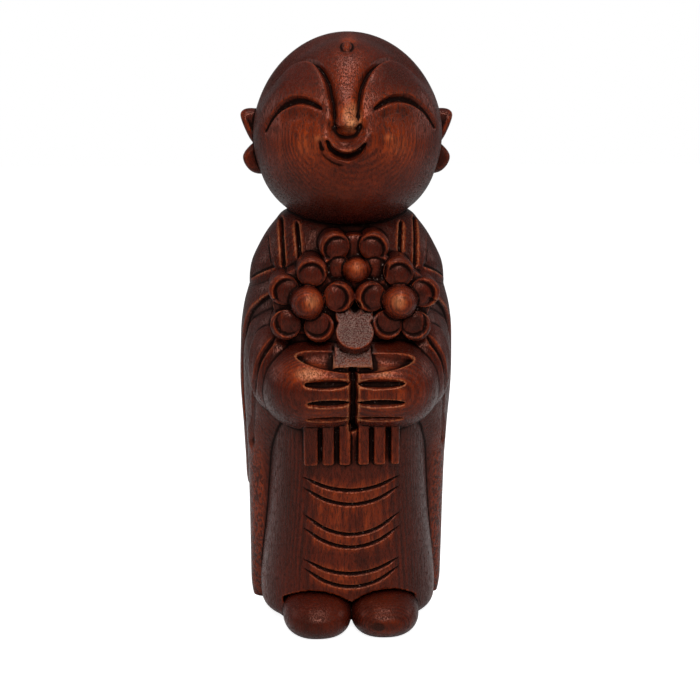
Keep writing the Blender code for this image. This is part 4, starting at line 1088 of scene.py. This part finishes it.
class MONK_OT_carve_figure(bpy.types.Operator):
    """Carve the whole figure and finish its wood"""
    bl_idname = "monk.carve_figure"
    bl_label = "Carve Figure"

    def execute(self, context):
        figure = build_figure(context.scene.monk_sizes)
        figure.materials.append(stained_hardwood(context.scene.monk_finish))
        piece = bpy.data.objects.new(PIECE_NAME, figure)
        context.scene.collection.objects.link(piece)
        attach(piece, "root")
        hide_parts(SOLID_NAME)
        return {"FINISHED"}


class MONK_OT_set_stage(bpy.types.Operator):
    """Lay the floor, hang the lights and place the camera"""
    bl_idname = "monk.set_stage"
    bl_label = "Set Stage"

    def execute(self, context):
        look = context.scene.monk_stage
        bm = bmesh.new()
        bmesh.ops.create_grid(bm, x_segments=1, y_segments=1, size=FLOOR_REACH)
        mesh = bpy.data.meshes.new("floor")
        bm.to_mesh(mesh)
        bm.free()
        mesh.materials.append(plain_paint("matt_floor", look.floor, look.floor_glow))
        floor = bpy.data.objects.new("floor", mesh)
        context.scene.collection.objects.link(floor)

        world = bpy.data.worlds.new("white_room")
        world.use_nodes = True
        tree = world.node_tree
        tree.nodes.clear()
        seen = node(tree, "ShaderNodeLightPath").outputs["Is Camera Ray"]
        strength = node(tree, "ShaderNodeMapRange", {}, {"Value": seen, "To Min": look.sky, "To Max": 1.0})
        background = node(tree, "ShaderNodeBackground", {},
                          {"Color": linear("#ffffff"), "Strength": strength.outputs["Result"]})
        node(tree, "ShaderNodeOutputWorld", {}, {"Surface": background.outputs["Background"]})
        context.scene.world = world
        context.scene.view_settings.view_transform = "Standard"
        for name, place, size, share in SOFT_LIGHTS:
            soft_light(name, place, LIGHT_TARGET, size, look.key_power * share)

        camera_data = bpy.data.cameras.new("photo_view")
        camera_data.sensor_width = SENSOR_WIDTH
        camera_data.lens = CAMERA_LENS
        camera = bpy.data.objects.new("photo_view", camera_data)
        camera.location = CAMERA_PLACE
        camera.rotation_euler = (math.radians(90 - CAMERA_DROP), 0.0, math.radians(-CAMERA_TURN))
        context.scene.collection.objects.link(camera)
        context.scene.camera = camera
        return {"FINISHED"}


class MONK_PT_panel(bpy.types.Panel):
    """Buttons and settings of the figure"""
    bl_idname = "MONK_PT_panel"
    bl_label = "Carved Monk"
    bl_space_type = "VIEW_3D"
    bl_region_type = "UI"
    bl_category = "Monk"

    def draw(self, context):
        for operator, group in ((MONK_OT_carve_figure, "monk_sizes"), (MONK_OT_set_stage, "monk_stage")):
            self.layout.operator(operator.bl_idname)
            settings = getattr(context.scene, group)
            for name in settings.__annotations__:
                self.layout.prop(settings, name)
        for name in context.scene.monk_finish.__annotations__:
            self.layout.prop(context.scene.monk_finish, name)


CLASSES = (FigureSizes, WoodFinish, StageLook, MONK_OT_carve_figure, MONK_OT_set_stage, MONK_PT_panel)


def register():
    """Makes the settings, operators and panel known to Blender."""
    for item in CLASSES:
        bpy.utils.register_class(item)
    bpy.types.Scene.monk_sizes = bpy.props.PointerProperty(type=FigureSizes)
    bpy.types.Scene.monk_finish = bpy.props.PointerProperty(type=WoodFinish)
    bpy.types.Scene.monk_stage = bpy.props.PointerProperty(type=StageLook)


def unregister():
    """Takes the settings, operators and panel away again."""
    for name in ("monk_sizes", "monk_finish", "monk_stage"):
        delattr(bpy.types.Scene, name)
    for item in reversed(CLASSES):
        bpy.utils.unregister_class(item)


def main():
    """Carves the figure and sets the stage."""
    register()
    bpy.ops.monk.carve_figure()
    bpy.ops.monk.set_stage()


if __name__ == "__main__":
    main()
